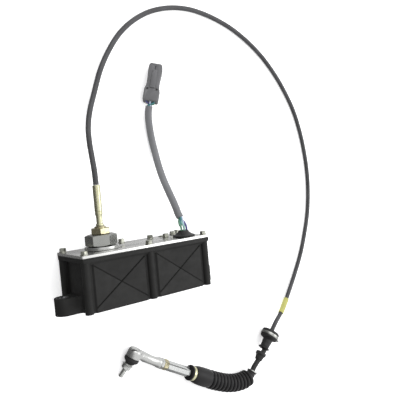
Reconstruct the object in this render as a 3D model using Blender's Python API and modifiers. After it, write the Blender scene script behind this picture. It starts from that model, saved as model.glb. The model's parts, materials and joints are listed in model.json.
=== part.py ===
"""Throttle motor: a sealed gear-motor box that pulls a push-pull cable with a ball-joint end.

The box lies on its back face. X runs along its length, Y up through its cover, Z out of its back face.
The origin is the centre of the back face. Lengths are in metres.
"""

import math

import bmesh
import bpy
from mathutils import Matrix, Vector

# Clearances
FIT_GAP = 0.0003
RUN_GAP = 0.0002
SMALL_SIDES = 16
ROUND_SIDES = 32
SMOOTH_ANGLE = 40.0

# Box
BOX_LENGTH = 0.186
BOX_DEPTH = 0.072
BOX_HEIGHT = 0.068
WALL = 0.0025
COVER_THICK = 0.003
GASKET_THICK = 0.001
RIM_HEIGHT = 0.004
RIM_TAPER = 0.0032
RIM_INSET = 0.0003
CORNER_RADIUS = 0.003
END_INSET = 0.008
SIDE_INSET = 0.0055
COLUMN_INSET = 0.006
COLUMN_RADIUS = 0.005
BACK_MIDDLE_X = -0.005
PILASTER_HALF = 0.009
PANEL_RISE = 0.0018
GROOVE_WIDTH = 0.0025
END_BULGE = 0.0025
RISING_CREASE_HALF = 0.0011
RISING_CREASE_DEPTH = 0.0022
FALLING_CREASE_HALF = 0.0009
FALLING_CREASE_DEPTH = 0.0012
CREASE_SIDE_MARGIN = 0.0015
CREASE_FOOT_MARGIN = 0.0055
CREASE_TOP_MARGIN = 0.0012

# Lugs
LUG_RADIUS = 0.012
LUG_REACH = 0.010
LUG_HEIGHT = 0.020
LUG_PROUD = 0.0005
LUG_FILLET = 0.006
BUSH_RADIUS = 0.006
BUSH_BORE = 0.00425

# Cover screws and the other small parts on the cover
SCREW_RADIUS = 0.002
SCREW_LENGTH = 0.014
SCREW_FLANGE_RADIUS = 0.0046
SCREW_FLANGE_HEIGHT = 0.0012
SCREW_FLATS = 0.0072
SCREW_HEAD = 0.0036
MECHANISM_SCREW_LENGTH = 0.007
MECHANISM_SCREW_PLACES = [(BOX_LENGTH / 2 - 0.059, BOX_DEPTH * 0.2222), (BOX_LENGTH / 2 - 0.041, BOX_DEPTH * 0.3889),
                          (BOX_LENGTH / 2 - 0.019, BOX_DEPTH * 0.1806)]
VENT_PLACE = (BOX_LENGTH / 2 - 0.038, BOX_DEPTH * 0.1944)
VENT_RADIUS = 0.005
VENT_STEM = 0.0028
VENT_HEIGHT = 0.0012

# Cable outlet
GLAND_X = -0.5269 * BOX_LENGTH / 2
CABLE_Z = 0.036
WASHER_RADIUS = 0.021
WASHER_THICK = 0.004
GLAND_FLATS = 0.034
GLAND_NUT_HEIGHT = 0.0140
LOCKNUT_FLATS = 0.022
LOCKNUT_HEIGHT = 0.0075
GLAND_FLANGE_RADIUS = 0.014
GLAND_FLANGE_THICK = 0.003
GLAND_SHANK_RADIUS = 0.010
GLAND_NECK_RADIUS = 0.007
GLAND_NECK_PROUD = 0.002
HUB_SPIGOT_RADIUS = 0.0038
HUB_SPIGOT_DEPTH = 0.011
HUB_NARROW_LENGTH = 0.012
HUB_TAPER_LENGTH = 0.003
HUB_RADIUS = 0.0047
HUB_END_Y = 0.113
WIRE_RADIUS = 0.00125
WIRE_BORE = 0.0019

# Control cable: the route's own points, chosen by hand, and the tag on it
CONDUIT_RADIUS = 0.0035
CONDUIT_STEP = 0.0175
CONDUIT_ROUTE = [
    (-0.0490, 0.1133, 0.0360), (-0.0490, 0.1300, 0.0352), (-0.0480, 0.1480, 0.0302), (-0.0452, 0.1670, 0.0215),
    (-0.0402, 0.1870, 0.0122), (-0.0330, 0.2080, 0.0060), (-0.0222, 0.2350, 0.0037), (-0.0105, 0.2644, 0.0036),
    (0.0055, 0.2921, 0.0036), (0.0245, 0.3164, 0.0036), (0.0489, 0.3369, 0.0036), (0.0779, 0.3526, 0.0036),
    (0.1115, 0.3623, 0.0036), (0.1454, 0.3653, 0.0036), (0.1780, 0.3619, 0.0036), (0.2103, 0.3541, 0.0036),
    (0.2397, 0.3430, 0.0036), (0.2713, 0.3257, 0.0036), (0.2992, 0.3052, 0.0036), (0.3257, 0.2787, 0.0036),
    (0.3480, 0.2497, 0.0036), (0.3665, 0.2182, 0.0036), (0.3790, 0.1844, 0.0036), (0.3874, 0.1477, 0.0036),
    (0.3916, 0.1092, 0.0036), (0.3907, 0.0738, 0.0036), (0.3843, 0.0340, 0.0036), (0.3719, -0.0033, 0.0036),
    (0.3559, -0.0395, 0.0036), (0.3345, -0.0743, 0.0039), (0.3085, -0.1080, 0.0060), (0.2865, -0.1282, 0.0104),
]
CONDUIT_LEAD = 0.016
TAG_RADIUS = 0.0044
TAG_TAIL = 0.037
TAG_LENGTH = 0.030

# Bulkhead grommet and the fittings behind it, placed along one straight axis
BULKHEAD_START = (0.2553, -0.1513, 0.0154)
BULKHEAD_AXIS = (-0.684, -0.729, -0.008)
CAP_RADIUS = 0.0145
CAP_LENGTH = 0.0065
BRACKET_RADIUS = 0.0151
BRACKET_THICK = 0.0045
EAR_REACH = 0.0225
EAR_WIDTH = 0.0035
EAR_HALF = 0.0055
EAR_HOLE_WIDTH = 0.0016
EAR_HOLE_HALF = 0.0034
GROMMET_FLANGE = 0.0050
BARREL_RADIUS = 0.0074
BARREL_LENGTH = 0.0135
SNAP_RADIUS = 0.0092
SNAP_LENGTH = 0.0032
NECK_LENGTH = 0.0068
STEM_RADIUS = 0.0040
SEAL_TOP_RADIUS = 0.0084
SEAL_END_RADIUS = 0.0056
SEAL_LENGTH = 0.0135

# Boot: the centreline's own points, chosen by hand, from the rod end to the stem
BOOT_LEAD = 0.014
BOOT_ROUTE = [
    (0.1085, -0.1844, 0.0141), (0.1235, -0.1932, 0.0141),
    (0.1360, -0.1996, 0.0141), (0.1504, -0.2061, 0.0141), (0.1660, -0.2108, 0.0141), (0.1820, -0.2127, 0.0141),
    (0.1940, -0.2110, 0.0142), (0.2025, -0.2064, 0.0143), (0.2080, -0.2000, 0.0144), (0.2121, -0.1963, 0.0147),
]
BOOT_LENGTH = 0.1385
BOOT_RADIUS = 0.0137
BOOT_ROOT = 0.0105
BOOT_SKIN = 0.0016
BOOT_FOLDS = 12
BOOT_LIP = 0.0035
BOOT_COLLAR = 0.0405
BOOT_NECK_RADIUS = 0.0072
BAND_RADIUS = 0.0103
BAND_WIDTH = 0.0050
CLIP_WIDTH = 0.0022
CORE_RADIUS = 0.0016

# Rod end: distances are measured from the ball's centre along the rod
BALL_CENTRE = (-0.0052, -0.1166, 0.0120)
ROD_FAR_POINT = (0.0883, -0.1724, 0.0140)
STUD_TIP = (-0.0244, -0.1429, 0.0036)
BALL_RADIUS = 0.006
LINER_SKIN = 0.002
CUP_RADIUS = 0.010
CUP_TOP = 0.0085
CUP_MOUTH = 0.0042
MOUTH_RADIUS = 0.0062
STUD_RADIUS = 0.003
NUT_START = 0.0138
NUT_STEP_RADIUS = 0.0050
NUT_STEP_HEIGHT = 0.0008
NUT_FLANGE_RADIUS = 0.0072
NUT_FLANGE_THICK = 0.0026
NUT_FLATS = 0.010
NUT_HEIGHT = 0.0050
DUST_CAP_RADIUS = 0.0103
DUST_CAP_END = 0.0056
DUST_CAP_LENGTH = 0.0086
DUST_CAP_SKIN = 0.0012
SHANK_END = 0.0450
SHANK_RADIUS = 0.0060
SHANK_NECK = 0.0055
SHANK_ROOT = 0.0040
SHANK_COLLAR = 0.0073
SHANK_COLLAR_LENGTH = 0.0045
PALE_NUT_HEIGHT = 0.0042
PALE_NUT_FLATS = 0.0130
YELLOW_NUT_HEIGHT = 0.0070
YELLOW_NUT_FLATS = 0.0130
SLEEVE_LENGTH = 0.0420
SLEEVE_FLATS = 0.0122
SLEEVE_THREAD_DEPTH = 0.020
LINK_SCREW_REACH = 0.019
LINK_SCREW_HOLD = 0.017
ROD_RADIUS = 0.003
SPIGOT_RADIUS = 0.0055
SPIGOT_LENGTH = 0.012

# Harness: the routes' own points, chosen by hand
GROMMET_PLACE = (BOX_LENGTH / 2 - 0.025, BOX_DEPTH * 0.6667)
DOME_RADIUS = BOX_DEPTH * 0.2083
DOME_HEIGHT = 0.0082
DOME_TOP_RADIUS = 0.0062
DOME_NECK_RADIUS = DOME_RADIUS - 0.0043
DOME_INNER_RADIUS = DOME_RADIUS - 0.0020
DOME_INNER_THICK = 0.003
BUNDLE_RADIUS = 0.0028
SLEEVE_RADIUS = 0.0050
SLEEVE_STEP = 0.009
HARNESS_ROUTE = [
    (0.0655, 0.0600, 0.0465), (0.0643, 0.0660, 0.0440), (0.0634, 0.0731, 0.0420), (0.0620, 0.0858, 0.0366), (0.0611, 0.0990, 0.0296),
    (0.0605, 0.1125, 0.0225), (0.0603, 0.1270, 0.0160), (0.0604, 0.1415, 0.0107), (0.0600, 0.1560, 0.0070),
    (0.0584, 0.1700, 0.0056), (0.0564, 0.1840, 0.0060), (0.0546, 0.1980, 0.0076), (0.0542, 0.2080, 0.0094),
    (0.0550, 0.2165, 0.0114),
]
PLUG_START = (0.0566, 0.2215, 0.0124)
PLUG_TILT = 35.0
PLUG_AXIS = (0.292, 0.956, 0.0)
PLUG_REAR_LENGTH = 0.019
PLUG_LENGTH = 0.055
PLUG_WAIST_WIDTH = 0.0176
PLUG_SHOULDER = 0.0035
PLUG_NOSE_RADIUS = 0.0030
PLUG_REAR_WIDTH = 0.0215
PLUG_WIDTH = 0.0195
PLUG_REAR_HEIGHT = 0.0158
PLUG_HEIGHT = 0.0142
PLUG_LATCH_WIDTH = 0.007
PLUG_LATCH_HEIGHT = 0.0016
PLUG_PITCH_X = 0.0052
PLUG_PITCH_Z = 0.0060
TERMINAL_HOLE = 0.0014
TERMINAL_DEPTH = 0.010
PLUG_SEAL_THICK = 0.003

# Gear train, on three shafts along X
SHAFT_Y = -0.002
MODULE = min(BOX_LENGTH / 186, BOX_HEIGHT / 68)
OUTPUT_TEETH = 48
IDLER_PINION_TEETH = 12
IDLER_TEETH = 40
MOTOR_TEETH = 10
OUTPUT_GEAR_THICK = 0.005
IDLER_THICK = 0.004
OUTPUT_SHAFT_RADIUS = 0.004
SENSOR_SHAFT_RADIUS = 0.0025
IDLER_PIN_RADIUS = 0.0025
MOTOR_SHAFT_RADIUS = 0.002
PLATE_THICK = 0.002
PLATE_MARGIN = 0.006
PLATE_END_INSET = 0.016
PLATE_SIDE_GAP = 0.008
SPACER_RADIUS = 0.0035
SPACER_LENGTH = 0.0145
PLATE_SCREW_RADIUS = 0.0015
DRUM_WIRE_RADIUS = 0.016
DRUM_RADIUS = 0.019
DRUM_THICK = 0.009
DRUM_HUB_RADIUS = 0.008
NIPPLE_RADIUS = 0.003
NIPPLE_LENGTH = 0.007
NIPPLE_ANGLE = 250.0
BEARING_RADIUS = 0.0065
COLLAR_HEIGHT = 0.0015
MOTOR_RADIUS = 0.018
MOTOR_END_GAP = 0.0009
MOTOR_SKIN = 0.0015
ARMATURE_RADIUS = 0.0125
ARMATURE_END_GAP = 0.004
MOTOR_BOSS_RADIUS = 0.006
MOTOR_REAR_RADIUS = 0.007
MOTOR_REAR_HEIGHT = 0.0012
PINION_THICK = 0.006
SENSOR_RADIUS = 0.011
SENSOR_SHARE = 0.426
SENSOR_GAP_SHARE = 0.20
SENSOR_PLATE_THICK = 0.0015
POST_RADIUS = 0.0035
BRACKET_FLANGE_THICK = 0.0025
BRACKET_WEB_THICK = 0.0025
BRACKET_LEFT = BOX_LENGTH / 2 - 0.065
BRACKET_RIGHT = BOX_LENGTH / 2 - 0.013
BRACKET_BACK = 0.0088
BRACKET_FRONT = BOX_DEPTH * 0.4583

# Places that follow from the sizes above
HALF_LENGTH = BOX_LENGTH / 2
COVER_Y = BOX_HEIGHT / 2
COVER_INNER_Y = COVER_Y - COVER_THICK
RIM_Y = COVER_INNER_Y - GASKET_THICK - 2 * FIT_GAP
BOTTOM_Y = -BOX_HEIGHT / 2
FRONT_Z = BOX_DEPTH
CAVITY_HALF = HALF_LENGTH - END_INSET - WALL
CAVITY_BACK = SIDE_INSET + WALL
CAVITY_FRONT = BOX_DEPTH - SIDE_INSET - WALL
SCREW_HOLE = SCREW_RADIUS + FIT_GAP
COLUMN_X = HALF_LENGTH - COLUMN_INSET
COVER_SCREW_PLACES = [
    (-COLUMN_X, FRONT_Z - COLUMN_INSET), (0.0, FRONT_Z - COLUMN_INSET), (COLUMN_X, FRONT_Z - COLUMN_INSET),
    (-COLUMN_X, COLUMN_INSET), (BACK_MIDDLE_X, COLUMN_INSET), (COLUMN_X, COLUMN_INSET),
]
LUG_X = HALF_LENGTH + LUG_REACH
LUG_Z = BOX_DEPTH / 2
LUG_LOW_Y = BOTTOM_Y - LUG_PROUD
OUTPUT_X = GLAND_X + DRUM_WIRE_RADIUS
POST_PLACES = [(OUTPUT_X + 0.025, SHAFT_Y + 0.009), (OUTPUT_X - 0.024, SHAFT_Y - 0.001)]
IDLER_X = OUTPUT_X + MODULE * (OUTPUT_TEETH + IDLER_PINION_TEETH) / 2
MOTOR_X = IDLER_X + MODULE * (IDLER_TEETH + MOTOR_TEETH) / 2
LOWER_PLATE_Z = COLUMN_INSET + COLUMN_RADIUS + FIT_GAP
UPPER_PLATE_Z = LOWER_PLATE_Z + PLATE_THICK + SPACER_LENGTH + FIT_GAP
ABOVE_PLATE_Z = UPPER_PLATE_Z + PLATE_THICK + FIT_GAP
OUTPUT_GEAR_Z = LOWER_PLATE_Z + PLATE_THICK + COLLAR_HEIGHT + FIT_GAP
IDLER_GEAR_Z = OUTPUT_GEAR_Z + OUTPUT_GEAR_THICK + 2 * FIT_GAP + 0.001
DRUM_Z = CABLE_Z - DRUM_THICK / 2
DRUM_TOP_Z = DRUM_Z + DRUM_THICK
SENSOR_ROOM = CAVITY_FRONT - DRUM_TOP_Z
SENSOR_THICK = SENSOR_ROOM * SENSOR_SHARE
SENSOR_PLATE_Z = DRUM_TOP_Z + SENSOR_ROOM * SENSOR_GAP_SHARE
POST_LENGTH = SENSOR_PLATE_Z - ABOVE_PLATE_Z
SENSOR_Z = SENSOR_PLATE_Z + SENSOR_PLATE_THICK + FIT_GAP
MOTOR_LENGTH = CAVITY_FRONT - MOTOR_END_GAP - MOTOR_REAR_HEIGHT - ABOVE_PLATE_Z
PLATE_LEFT = GLAND_X - 0.015
PLATE_RIGHT = MOTOR_X + 0.040
PLATE_LOW = BOTTOM_Y + PLATE_SIDE_GAP
PLATE_HIGH = COVER_Y - PLATE_SIDE_GAP - 0.002
SPACER_LEFT = PLATE_LEFT + PLATE_MARGIN
SPACER_RIGHT = PLATE_RIGHT - PLATE_END_INSET
SPACER_PLACES = [(SPACER_LEFT, PLATE_LOW + PLATE_MARGIN), (SPACER_LEFT, PLATE_HIGH - PLATE_MARGIN),
                 (SPACER_RIGHT, PLATE_LOW + PLATE_MARGIN), (SPACER_RIGHT, PLATE_HIGH - PLATE_MARGIN)]
WEB_LEFT = SPACER_RIGHT + 0.004
WEB_LOW = SHAFT_Y - 0.010

UP = Vector((0, 1, 0))
OUT = Vector((0, 0, 1))


# Scene and collections
def clear_scene():
    for obj in list(bpy.data.objects):
        bpy.data.objects.remove(obj, do_unlink=True)


def new_collection(name):
    collection = bpy.data.collections.new(name)
    bpy.context.scene.collection.children.link(collection)
    return collection


clear_scene()
PARTS = new_collection("throttle_motor")
CUTTERS = new_collection("cutters")


# Materials
def finish(obj, colour, roughness, metallic=0.0):
    material = bpy.data.materials.new(obj.name)
    material.use_nodes = True
    shader = material.node_tree.nodes["Principled BSDF"]
    shader.inputs["Base Color"].default_value = (*colour, 1.0)
    shader.inputs["Roughness"].default_value = roughness
    shader.inputs["Metallic"].default_value = metallic
    obj.data.materials.clear()
    obj.data.materials.append(material)
    return obj


def black_plastic(obj):
    return finish(obj, (0.040, 0.040, 0.036), 0.55)


def black_rubber(obj):
    return finish(obj, (0.020, 0.020, 0.022), 0.70)


def bright_aluminium(obj):
    return finish(obj, (0.78, 0.79, 0.80), 0.30, 1.0)


def zinc_steel(obj):
    return finish(obj, (0.60, 0.61, 0.62), 0.35, 1.0)


def yellow_zinc(obj):
    return finish(obj, (0.66, 0.57, 0.32), 0.35, 1.0)


def dark_steel(obj):
    return finish(obj, (0.30, 0.31, 0.33), 0.40, 1.0)


def bronze(obj):
    return finish(obj, (0.55, 0.38, 0.20), 0.45, 1.0)


def grey_plastic(obj):
    return finish(obj, (0.19, 0.19, 0.20), 0.55)


def white_plastic(obj):
    return finish(obj, (0.82, 0.82, 0.80), 0.45)


# Making objects
def keep(obj, cutter=False):
    target = CUTTERS if cutter else PARTS
    target.objects.link(obj)
    if cutter:
        obj.hide_render = True
        obj.display_type = "WIRE"
    return obj


def aim(obj, at, axis, side=None):
    """Put the object at a point with its own Z along the axis and its own X as near to the side as it goes."""
    z = Vector(axis).normalized()
    if side is None:
        side = Vector((1, 0, 0)) if abs(z.x) < 0.9 else Vector((0, 1, 0))
    x = (Vector(side) - z * z.dot(Vector(side))).normalized()
    y = z.cross(x)
    frame = Matrix((x, y, z)).transposed().to_4x4()
    obj.matrix_world = Matrix.Translation(Vector(at)) @ frame
    return obj


def arc(centre_x, centre_y, radius, start, end, steps):
    points = []
    for i in range(steps + 1):
        angle = math.radians(start + (end - start) * i / steps)
        points.append((centre_x + radius * math.cos(angle), centre_y + radius * math.sin(angle)))
    return points


def circle(centre_x, centre_y, radius, sides=SMALL_SIDES):
    return arc(centre_x, centre_y, radius, 0, 360 * (sides - 1) / sides, sides - 1)


def rounded_rectangle(left, right, low, high, radius, steps=4):
    points = arc(right - radius, low + radius, radius, -90, 0, steps)
    points += arc(right - radius, high - radius, radius, 0, 90, steps)
    points += arc(left + radius, high - radius, radius, 90, 180, steps)
    points += arc(left + radius, low + radius, radius, 180, 270, steps)
    return points


def extruded(name, outlines, low, high, plan=False, at=(0, 0), cutter=False, filled=True):
    """Extrude flat outlines along Z, or along Y if they are a plan in X and Z. Later outlines are holes.

    An outline that isn't filled gets its two ends in as_mesh, each as one whole face.
    """
    data = bpy.data.curves.new(name, "CURVE")
    data.dimensions = "2D"
    data.fill_mode = "BOTH" if filled else "NONE"
    data.extrude = (high - low) / 2
    for outline in outlines:
        spline = data.splines.new("POLY")
        spline.points.add(len(outline) - 1)
        for point, (x, y) in zip(spline.points, outline):
            point.co = (x, y, 0, 1)
        spline.use_cyclic_u = True
    obj = keep(bpy.data.objects.new(name, data), cutter)
    middle = (low + high) / 2
    if plan:
        obj.location = (at[0], middle, at[1])
        obj.rotation_euler = (math.pi / 2, 0, 0)
    else:
        obj.location = (at[0], at[1], middle)
    return obj


def as_mesh(obj, cutter=False):
    """Turn a curve or a piece with modifiers into a plain mesh in the same place."""
    bpy.context.view_layer.update()
    graph = bpy.context.evaluated_depsgraph_get()
    mesh = bpy.data.meshes.new_from_object(obj.evaluated_get(graph))
    place = obj.matrix_world.copy()
    name = obj.name
    bpy.data.objects.remove(obj, do_unlink=True)
    bm = bmesh.new()
    bm.from_mesh(mesh)
    bmesh.ops.remove_doubles(bm, verts=bm.verts, dist=0.000001)
    bmesh.ops.holes_fill(bm, edges=bm.edges, sides=0)
    bmesh.ops.recalc_face_normals(bm, faces=bm.faces)
    bm.to_mesh(mesh)
    bm.free()
    mesh.shade_smooth()
    mesh.set_sharp_from_angle(angle=math.radians(SMOOTH_ANGLE))
    solid = keep(bpy.data.objects.new(name, mesh), cutter)
    solid.matrix_world = place
    return solid


def turned(name, profile, at, axis, closed=False, sides=ROUND_SIDES, side=None, cutter=False):
    """Turn a profile of radius and height about the axis. Its outer side runs from top to bottom."""
    mesh = bpy.data.meshes.new(name)
    count = len(profile)
    edges = [(i, i + 1) for i in range(count - 1)]
    if closed:
        edges.append((count - 1, 0))
    mesh.from_pydata([(radius, 0, height) for radius, height in profile], edges, [])
    obj = keep(bpy.data.objects.new(name, mesh), cutter)
    screw = obj.modifiers.new("turn", "SCREW")
    screw.steps = sides
    screw.render_steps = sides
    screw.use_merge_vertices = True
    screw.merge_threshold = 0.000002
    screw.use_smooth_shade = True
    return aim(obj, at, axis, side)


def ring(name, outer, inner, low, high, at, axis, sides=ROUND_SIDES, cutter=False):
    profile = [(outer, high), (outer, low), (inner, low), (inner, high)]
    return turned(name, profile, at, axis, True, sides, cutter=cutter)


def drum(name, radius, low, high, at, axis, sides=ROUND_SIDES, cutter=False):
    profile = [(0, high), (radius, high), (radius, low), (0, low)]
    return turned(name, profile, at, axis, False, sides, cutter=cutter)


def prism(name, flats, low, high, at, axis, side=None, cutter=False):
    """A hexagonal prism with flats facing the side."""
    bm = bmesh.new()
    radius = flats / math.sqrt(3)
    bmesh.ops.create_cone(bm, cap_ends=True, segments=6, radius1=radius, radius2=radius, depth=high - low)
    bmesh.ops.rotate(bm, verts=bm.verts, matrix=Matrix.Rotation(math.radians(30), 3, "Z"))
    bmesh.ops.translate(bm, verts=bm.verts, vec=(0, 0, (high + low) / 2))
    mesh = bpy.data.meshes.new(name)
    bm.to_mesh(mesh)
    bm.free()
    return aim(keep(bpy.data.objects.new(name, mesh), cutter), at, axis, side)


def block(name, size, at, axis, side=None, cutter=False):
    bm = bmesh.new()
    bmesh.ops.create_cube(bm, size=1)
    bmesh.ops.scale(bm, verts=bm.verts, vec=size)
    mesh = bpy.data.meshes.new(name)
    bm.to_mesh(mesh)
    bm.free()
    return aim(keep(bpy.data.objects.new(name, mesh), cutter), at, axis, side)


def combine(obj, other, operation="DIFFERENCE"):
    modifier = obj.modifiers.new(other.name, "BOOLEAN")
    modifier.object = other
    modifier.operation = operation
    modifier.solver = "EXACT"
    return obj


def hex_nut(name, flats, height, bore, at, axis, side=None, sides=24):
    """A nut with both ends chamfered, from its seat at the point up along the axis."""
    corner = flats / math.sqrt(3)
    chamfer = (corner - flats / 2) * 0.8
    edge = flats / 2 * 0.985
    shape = [(edge, height), (corner * 1.01, height - chamfer), (corner * 1.01, chamfer), (edge, 0), (bore, 0),
             (bore, height)]
    cutter = turned(name + "_chamfers", shape, at, axis, True, sides, side, True)
    nut = prism(name, flats, -0.001, height + 0.001, at, axis, side)
    return combine(nut, cutter, "INTERSECT")


def tube(name, points, radius, resolution=2):
    data = bpy.data.curves.new(name, "CURVE")
    data.dimensions = "3D"
    data.bevel_depth = radius
    data.bevel_resolution = resolution
    data.use_fill_caps = True
    spline = data.splines.new("POLY")
    spline.points.add(len(points) - 1)
    for point, place in zip(spline.points, points):
        point.co = (*place, 1)
    return keep(bpy.data.objects.new(name, data))


def copies(name, pattern, frames):
    """One object for each frame. All of them share the pattern's mesh."""
    solid = as_mesh(pattern, True)
    mesh = solid.data
    bpy.data.objects.remove(solid, do_unlink=True)
    made = []
    for i, frame in enumerate(frames):
        obj = keep(bpy.data.objects.new("%s_%d" % (name, i + 1), mesh))
        obj.matrix_world = frame
        made.append(obj)
    return made


def gathered(name, pattern, frames):
    """One cutter that holds a copy of the pattern at each frame."""
    pattern = as_mesh(pattern, True)
    bm = bmesh.new()
    for frame in frames:
        before = len(bm.verts)
        bm.from_mesh(pattern.data)
        bm.verts.ensure_lookup_table()
        bmesh.ops.transform(bm, matrix=frame, verts=bm.verts[before:])
    mesh = bpy.data.meshes.new(name)
    bm.to_mesh(mesh)
    bm.free()
    bpy.data.objects.remove(pattern, do_unlink=True)
    return keep(bpy.data.objects.new(name, mesh), True)


def frame_at(at, axis, side=None):
    guide = aim(bpy.data.objects.new("guide", None), at, axis, side)
    frame = guide.matrix_world.copy()
    bpy.data.objects.remove(guide)
    return frame


def smooth_route(route, step):
    """Points about one step apart on a smooth curve through the route's own points."""
    knots = [Vector(point) for point in route]
    first = knots[0] * 2 - knots[1]
    last = knots[-1] * 2 - knots[-2]
    knots = [first] + knots + [last]
    fine = []
    for i in range(1, len(knots) - 2):
        a, b, c, d = knots[i - 1], knots[i], knots[i + 1], knots[i + 2]
        for k in range(24):
            t = k / 24
            fine.append(0.5 * (2 * b + (c - a) * t + (2 * a - 5 * b + 4 * c - d) * t ** 2
                               + (3 * b - a - 3 * c + d) * t ** 3))
    fine.append(knots[-2])
    lengths = [0.0]
    for a, b in zip(fine, fine[1:]):
        lengths.append(lengths[-1] + (b - a).length)
    count = max(2, round(lengths[-1] / step))
    return [along(fine, lengths, lengths[-1] * i / count) for i in range(count + 1)]


def along(points, lengths, distance):
    for i in range(1, len(points)):
        if lengths[i] >= distance - 1e-9:
            span = max(lengths[i] - lengths[i - 1], 1e-9)
            return points[i - 1].lerp(points[i], (distance - lengths[i - 1]) / span)
    return points[-1].copy()


def stretch(points, start, stop, count):
    """Evenly spaced points on a line of points, between two distances along it."""
    lengths = [0.0]
    for a, b in zip(points, points[1:]):
        lengths.append(lengths[-1] + (b - a).length)
    return [along(points, lengths, start + (stop - start) * i / count) for i in range(count + 1)]


def led_from(place, route):
    """The route with its first point moved to a place. The next points follow less and less."""
    shift = Vector(place) - Vector(route[0])
    return [Vector(point) + shift * max(0.0, 1 - i / 8) for i, point in enumerate(route)]


def route_length(points):
    return sum((b - a).length for a, b in zip(points, points[1:]))


# Housing
def plan_outline():
    """The box in plan: columns, grooves beside them, raised panels and bulged end walls."""
    wall_z = FRONT_Z - SIDE_INSET
    panel_z = wall_z + PANEL_RISE
    column_z = FRONT_Z - COLUMN_INSET
    end_x = HALF_LENGTH - END_INSET
    reach_end = math.degrees(math.acos((end_x - COLUMN_X) / COLUMN_RADIUS))
    reach_side = math.degrees(math.asin((wall_z - column_z) / COLUMN_RADIUS))
    middle_reach = COLUMN_RADIUS + GROOVE_WIDTH
    corner_reach = COLUMN_X - middle_reach
    # front right quarter, from the middle column outwards
    front = arc(0, column_z, COLUMN_RADIUS, 90, reach_side, 6)
    front += [(middle_reach, wall_z), (middle_reach + PANEL_RISE, panel_z)]
    front += [(corner_reach - PANEL_RISE, panel_z), (corner_reach, wall_z)]
    front += arc(COLUMN_X, column_z, COLUMN_RADIUS, 180 - reach_side, -reach_end, 14)
    # bulged end wall, down to the back corner
    bulge_top = column_z - middle_reach
    bulge_low = COLUMN_INSET + middle_reach
    bulge = []
    for i in range(9):
        t = i / 8
        swell = END_BULGE * (1 - (2 * t - 1) ** 2)
        bulge.append((end_x + swell, bulge_top + (bulge_low - bulge_top) * t))
    # back corner pilaster with its flat foot
    foot = COLUMN_INSET + COLUMN_RADIUS
    corner = [(end_x, foot)]
    corner += arc(COLUMN_X + COLUMN_RADIUS - CORNER_RADIUS, foot - CORNER_RADIUS, CORNER_RADIUS, 90, 0, 3)
    corner += arc(COLUMN_X + COLUMN_RADIUS - CORNER_RADIUS, CORNER_RADIUS, CORNER_RADIUS, 0, -90, 3)
    corner += [(COLUMN_X - COLUMN_RADIUS, 0), (COLUMN_X - COLUMN_RADIUS, SIDE_INSET)]
    right = front + bulge + corner
    left = [(-x, z) for x, z in reversed(right)]
    back_z = SIDE_INSET - PANEL_RISE
    pad_left = BACK_MIDDLE_X - PILASTER_HALF - GROOVE_WIDTH
    pad_right = BACK_MIDDLE_X + PILASTER_HALF + GROOVE_WIDTH
    pad_end = COLUMN_X - COLUMN_RADIUS - GROOVE_WIDTH
    back = [(pad_end, SIDE_INSET), (pad_end - PANEL_RISE, back_z)]
    back += [(pad_right + PANEL_RISE, back_z), (pad_right, SIDE_INSET)]
    back += [(BACK_MIDDLE_X + PILASTER_HALF, SIDE_INSET), (BACK_MIDDLE_X + PILASTER_HALF, 0)]
    back += [(BACK_MIDDLE_X - PILASTER_HALF, 0), (BACK_MIDDLE_X - PILASTER_HALF, SIDE_INSET)]
    back += [(pad_left, SIDE_INSET), (pad_left - PANEL_RISE, back_z)]
    back += [(-pad_end + PANEL_RISE, back_z), (-pad_end, SIDE_INSET)]
    return right + back + left[:-1]


def opening_outline(margin=0.0):
    """The inside of the box in plan, which leaves the two middle screw columns whole."""
    left, right = -CAVITY_HALF - margin, CAVITY_HALF + margin
    low, high = CAVITY_BACK - margin, CAVITY_FRONT + margin
    boss = COLUMN_RADIUS - margin
    half = math.degrees(math.acos((FRONT_Z - COLUMN_INSET - high) / boss))
    radius = CORNER_RADIUS
    points = arc(right - radius, low + radius, radius, -90, 0, 3)
    points += arc(right - radius, high - radius, radius, 0, 90, 3)
    points += arc(0, FRONT_Z - COLUMN_INSET, boss, -90 + half, -90 - half, 6)
    points += arc(left + radius, high - radius, radius, 90, 180, 3)
    points += arc(left + radius, low + radius, radius, 180, 270, 3)
    points += arc(BACK_MIDDLE_X, COLUMN_INSET, boss, 90 + half, 90 - half, 6)
    return points


def lug_outline(side):
    """A round-nosed lug in plan that flares into the end wall."""
    wall_x = HALF_LENGTH - END_INSET + END_BULGE * 0.7
    root_x = HALF_LENGTH - END_INSET - WALL / 2
    half = LUG_RADIUS
    points = arc(LUG_X, LUG_Z, half, 90, -90, 12)
    points += arc(wall_x + LUG_FILLET, LUG_Z - half - LUG_FILLET, LUG_FILLET, 90, 180, 4)
    points += [(root_x, LUG_Z - half - LUG_FILLET), (root_x, LUG_Z + half + LUG_FILLET)]
    points += arc(wall_x + LUG_FILLET, LUG_Z + half + LUG_FILLET, LUG_FILLET, 180, 270, 4)
    return [(side * x, z) for x, z in points]


def rim_taper():
    """The slope under the rim that brings it in to the walls."""
    bm = bmesh.new()
    bmesh.ops.create_cube(bm, size=1)
    top = RIM_Y - RIM_HEIGHT + 0.001
    low = RIM_Y - RIM_HEIGHT - RIM_TAPER
    inset = SIDE_INSET - PANEL_RISE
    for vert in bm.verts:
        upper = vert.co.y > 0
        x_reach = HALF_LENGTH - (0.0012 if upper else END_INSET - 0.001)
        z_reach = BOX_DEPTH / 2 - (0.0012 if upper else inset + 0.0004)
        vert.co.x = math.copysign(x_reach, vert.co.x)
        vert.co.z = BOX_DEPTH / 2 + math.copysign(z_reach, vert.co.z)
        vert.co.y = top if upper else low
    mesh = bpy.data.meshes.new("rim_taper")
    bm.to_mesh(mesh)
    bm.free()
    return keep(bpy.data.objects.new("rim_taper", mesh), True)


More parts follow.
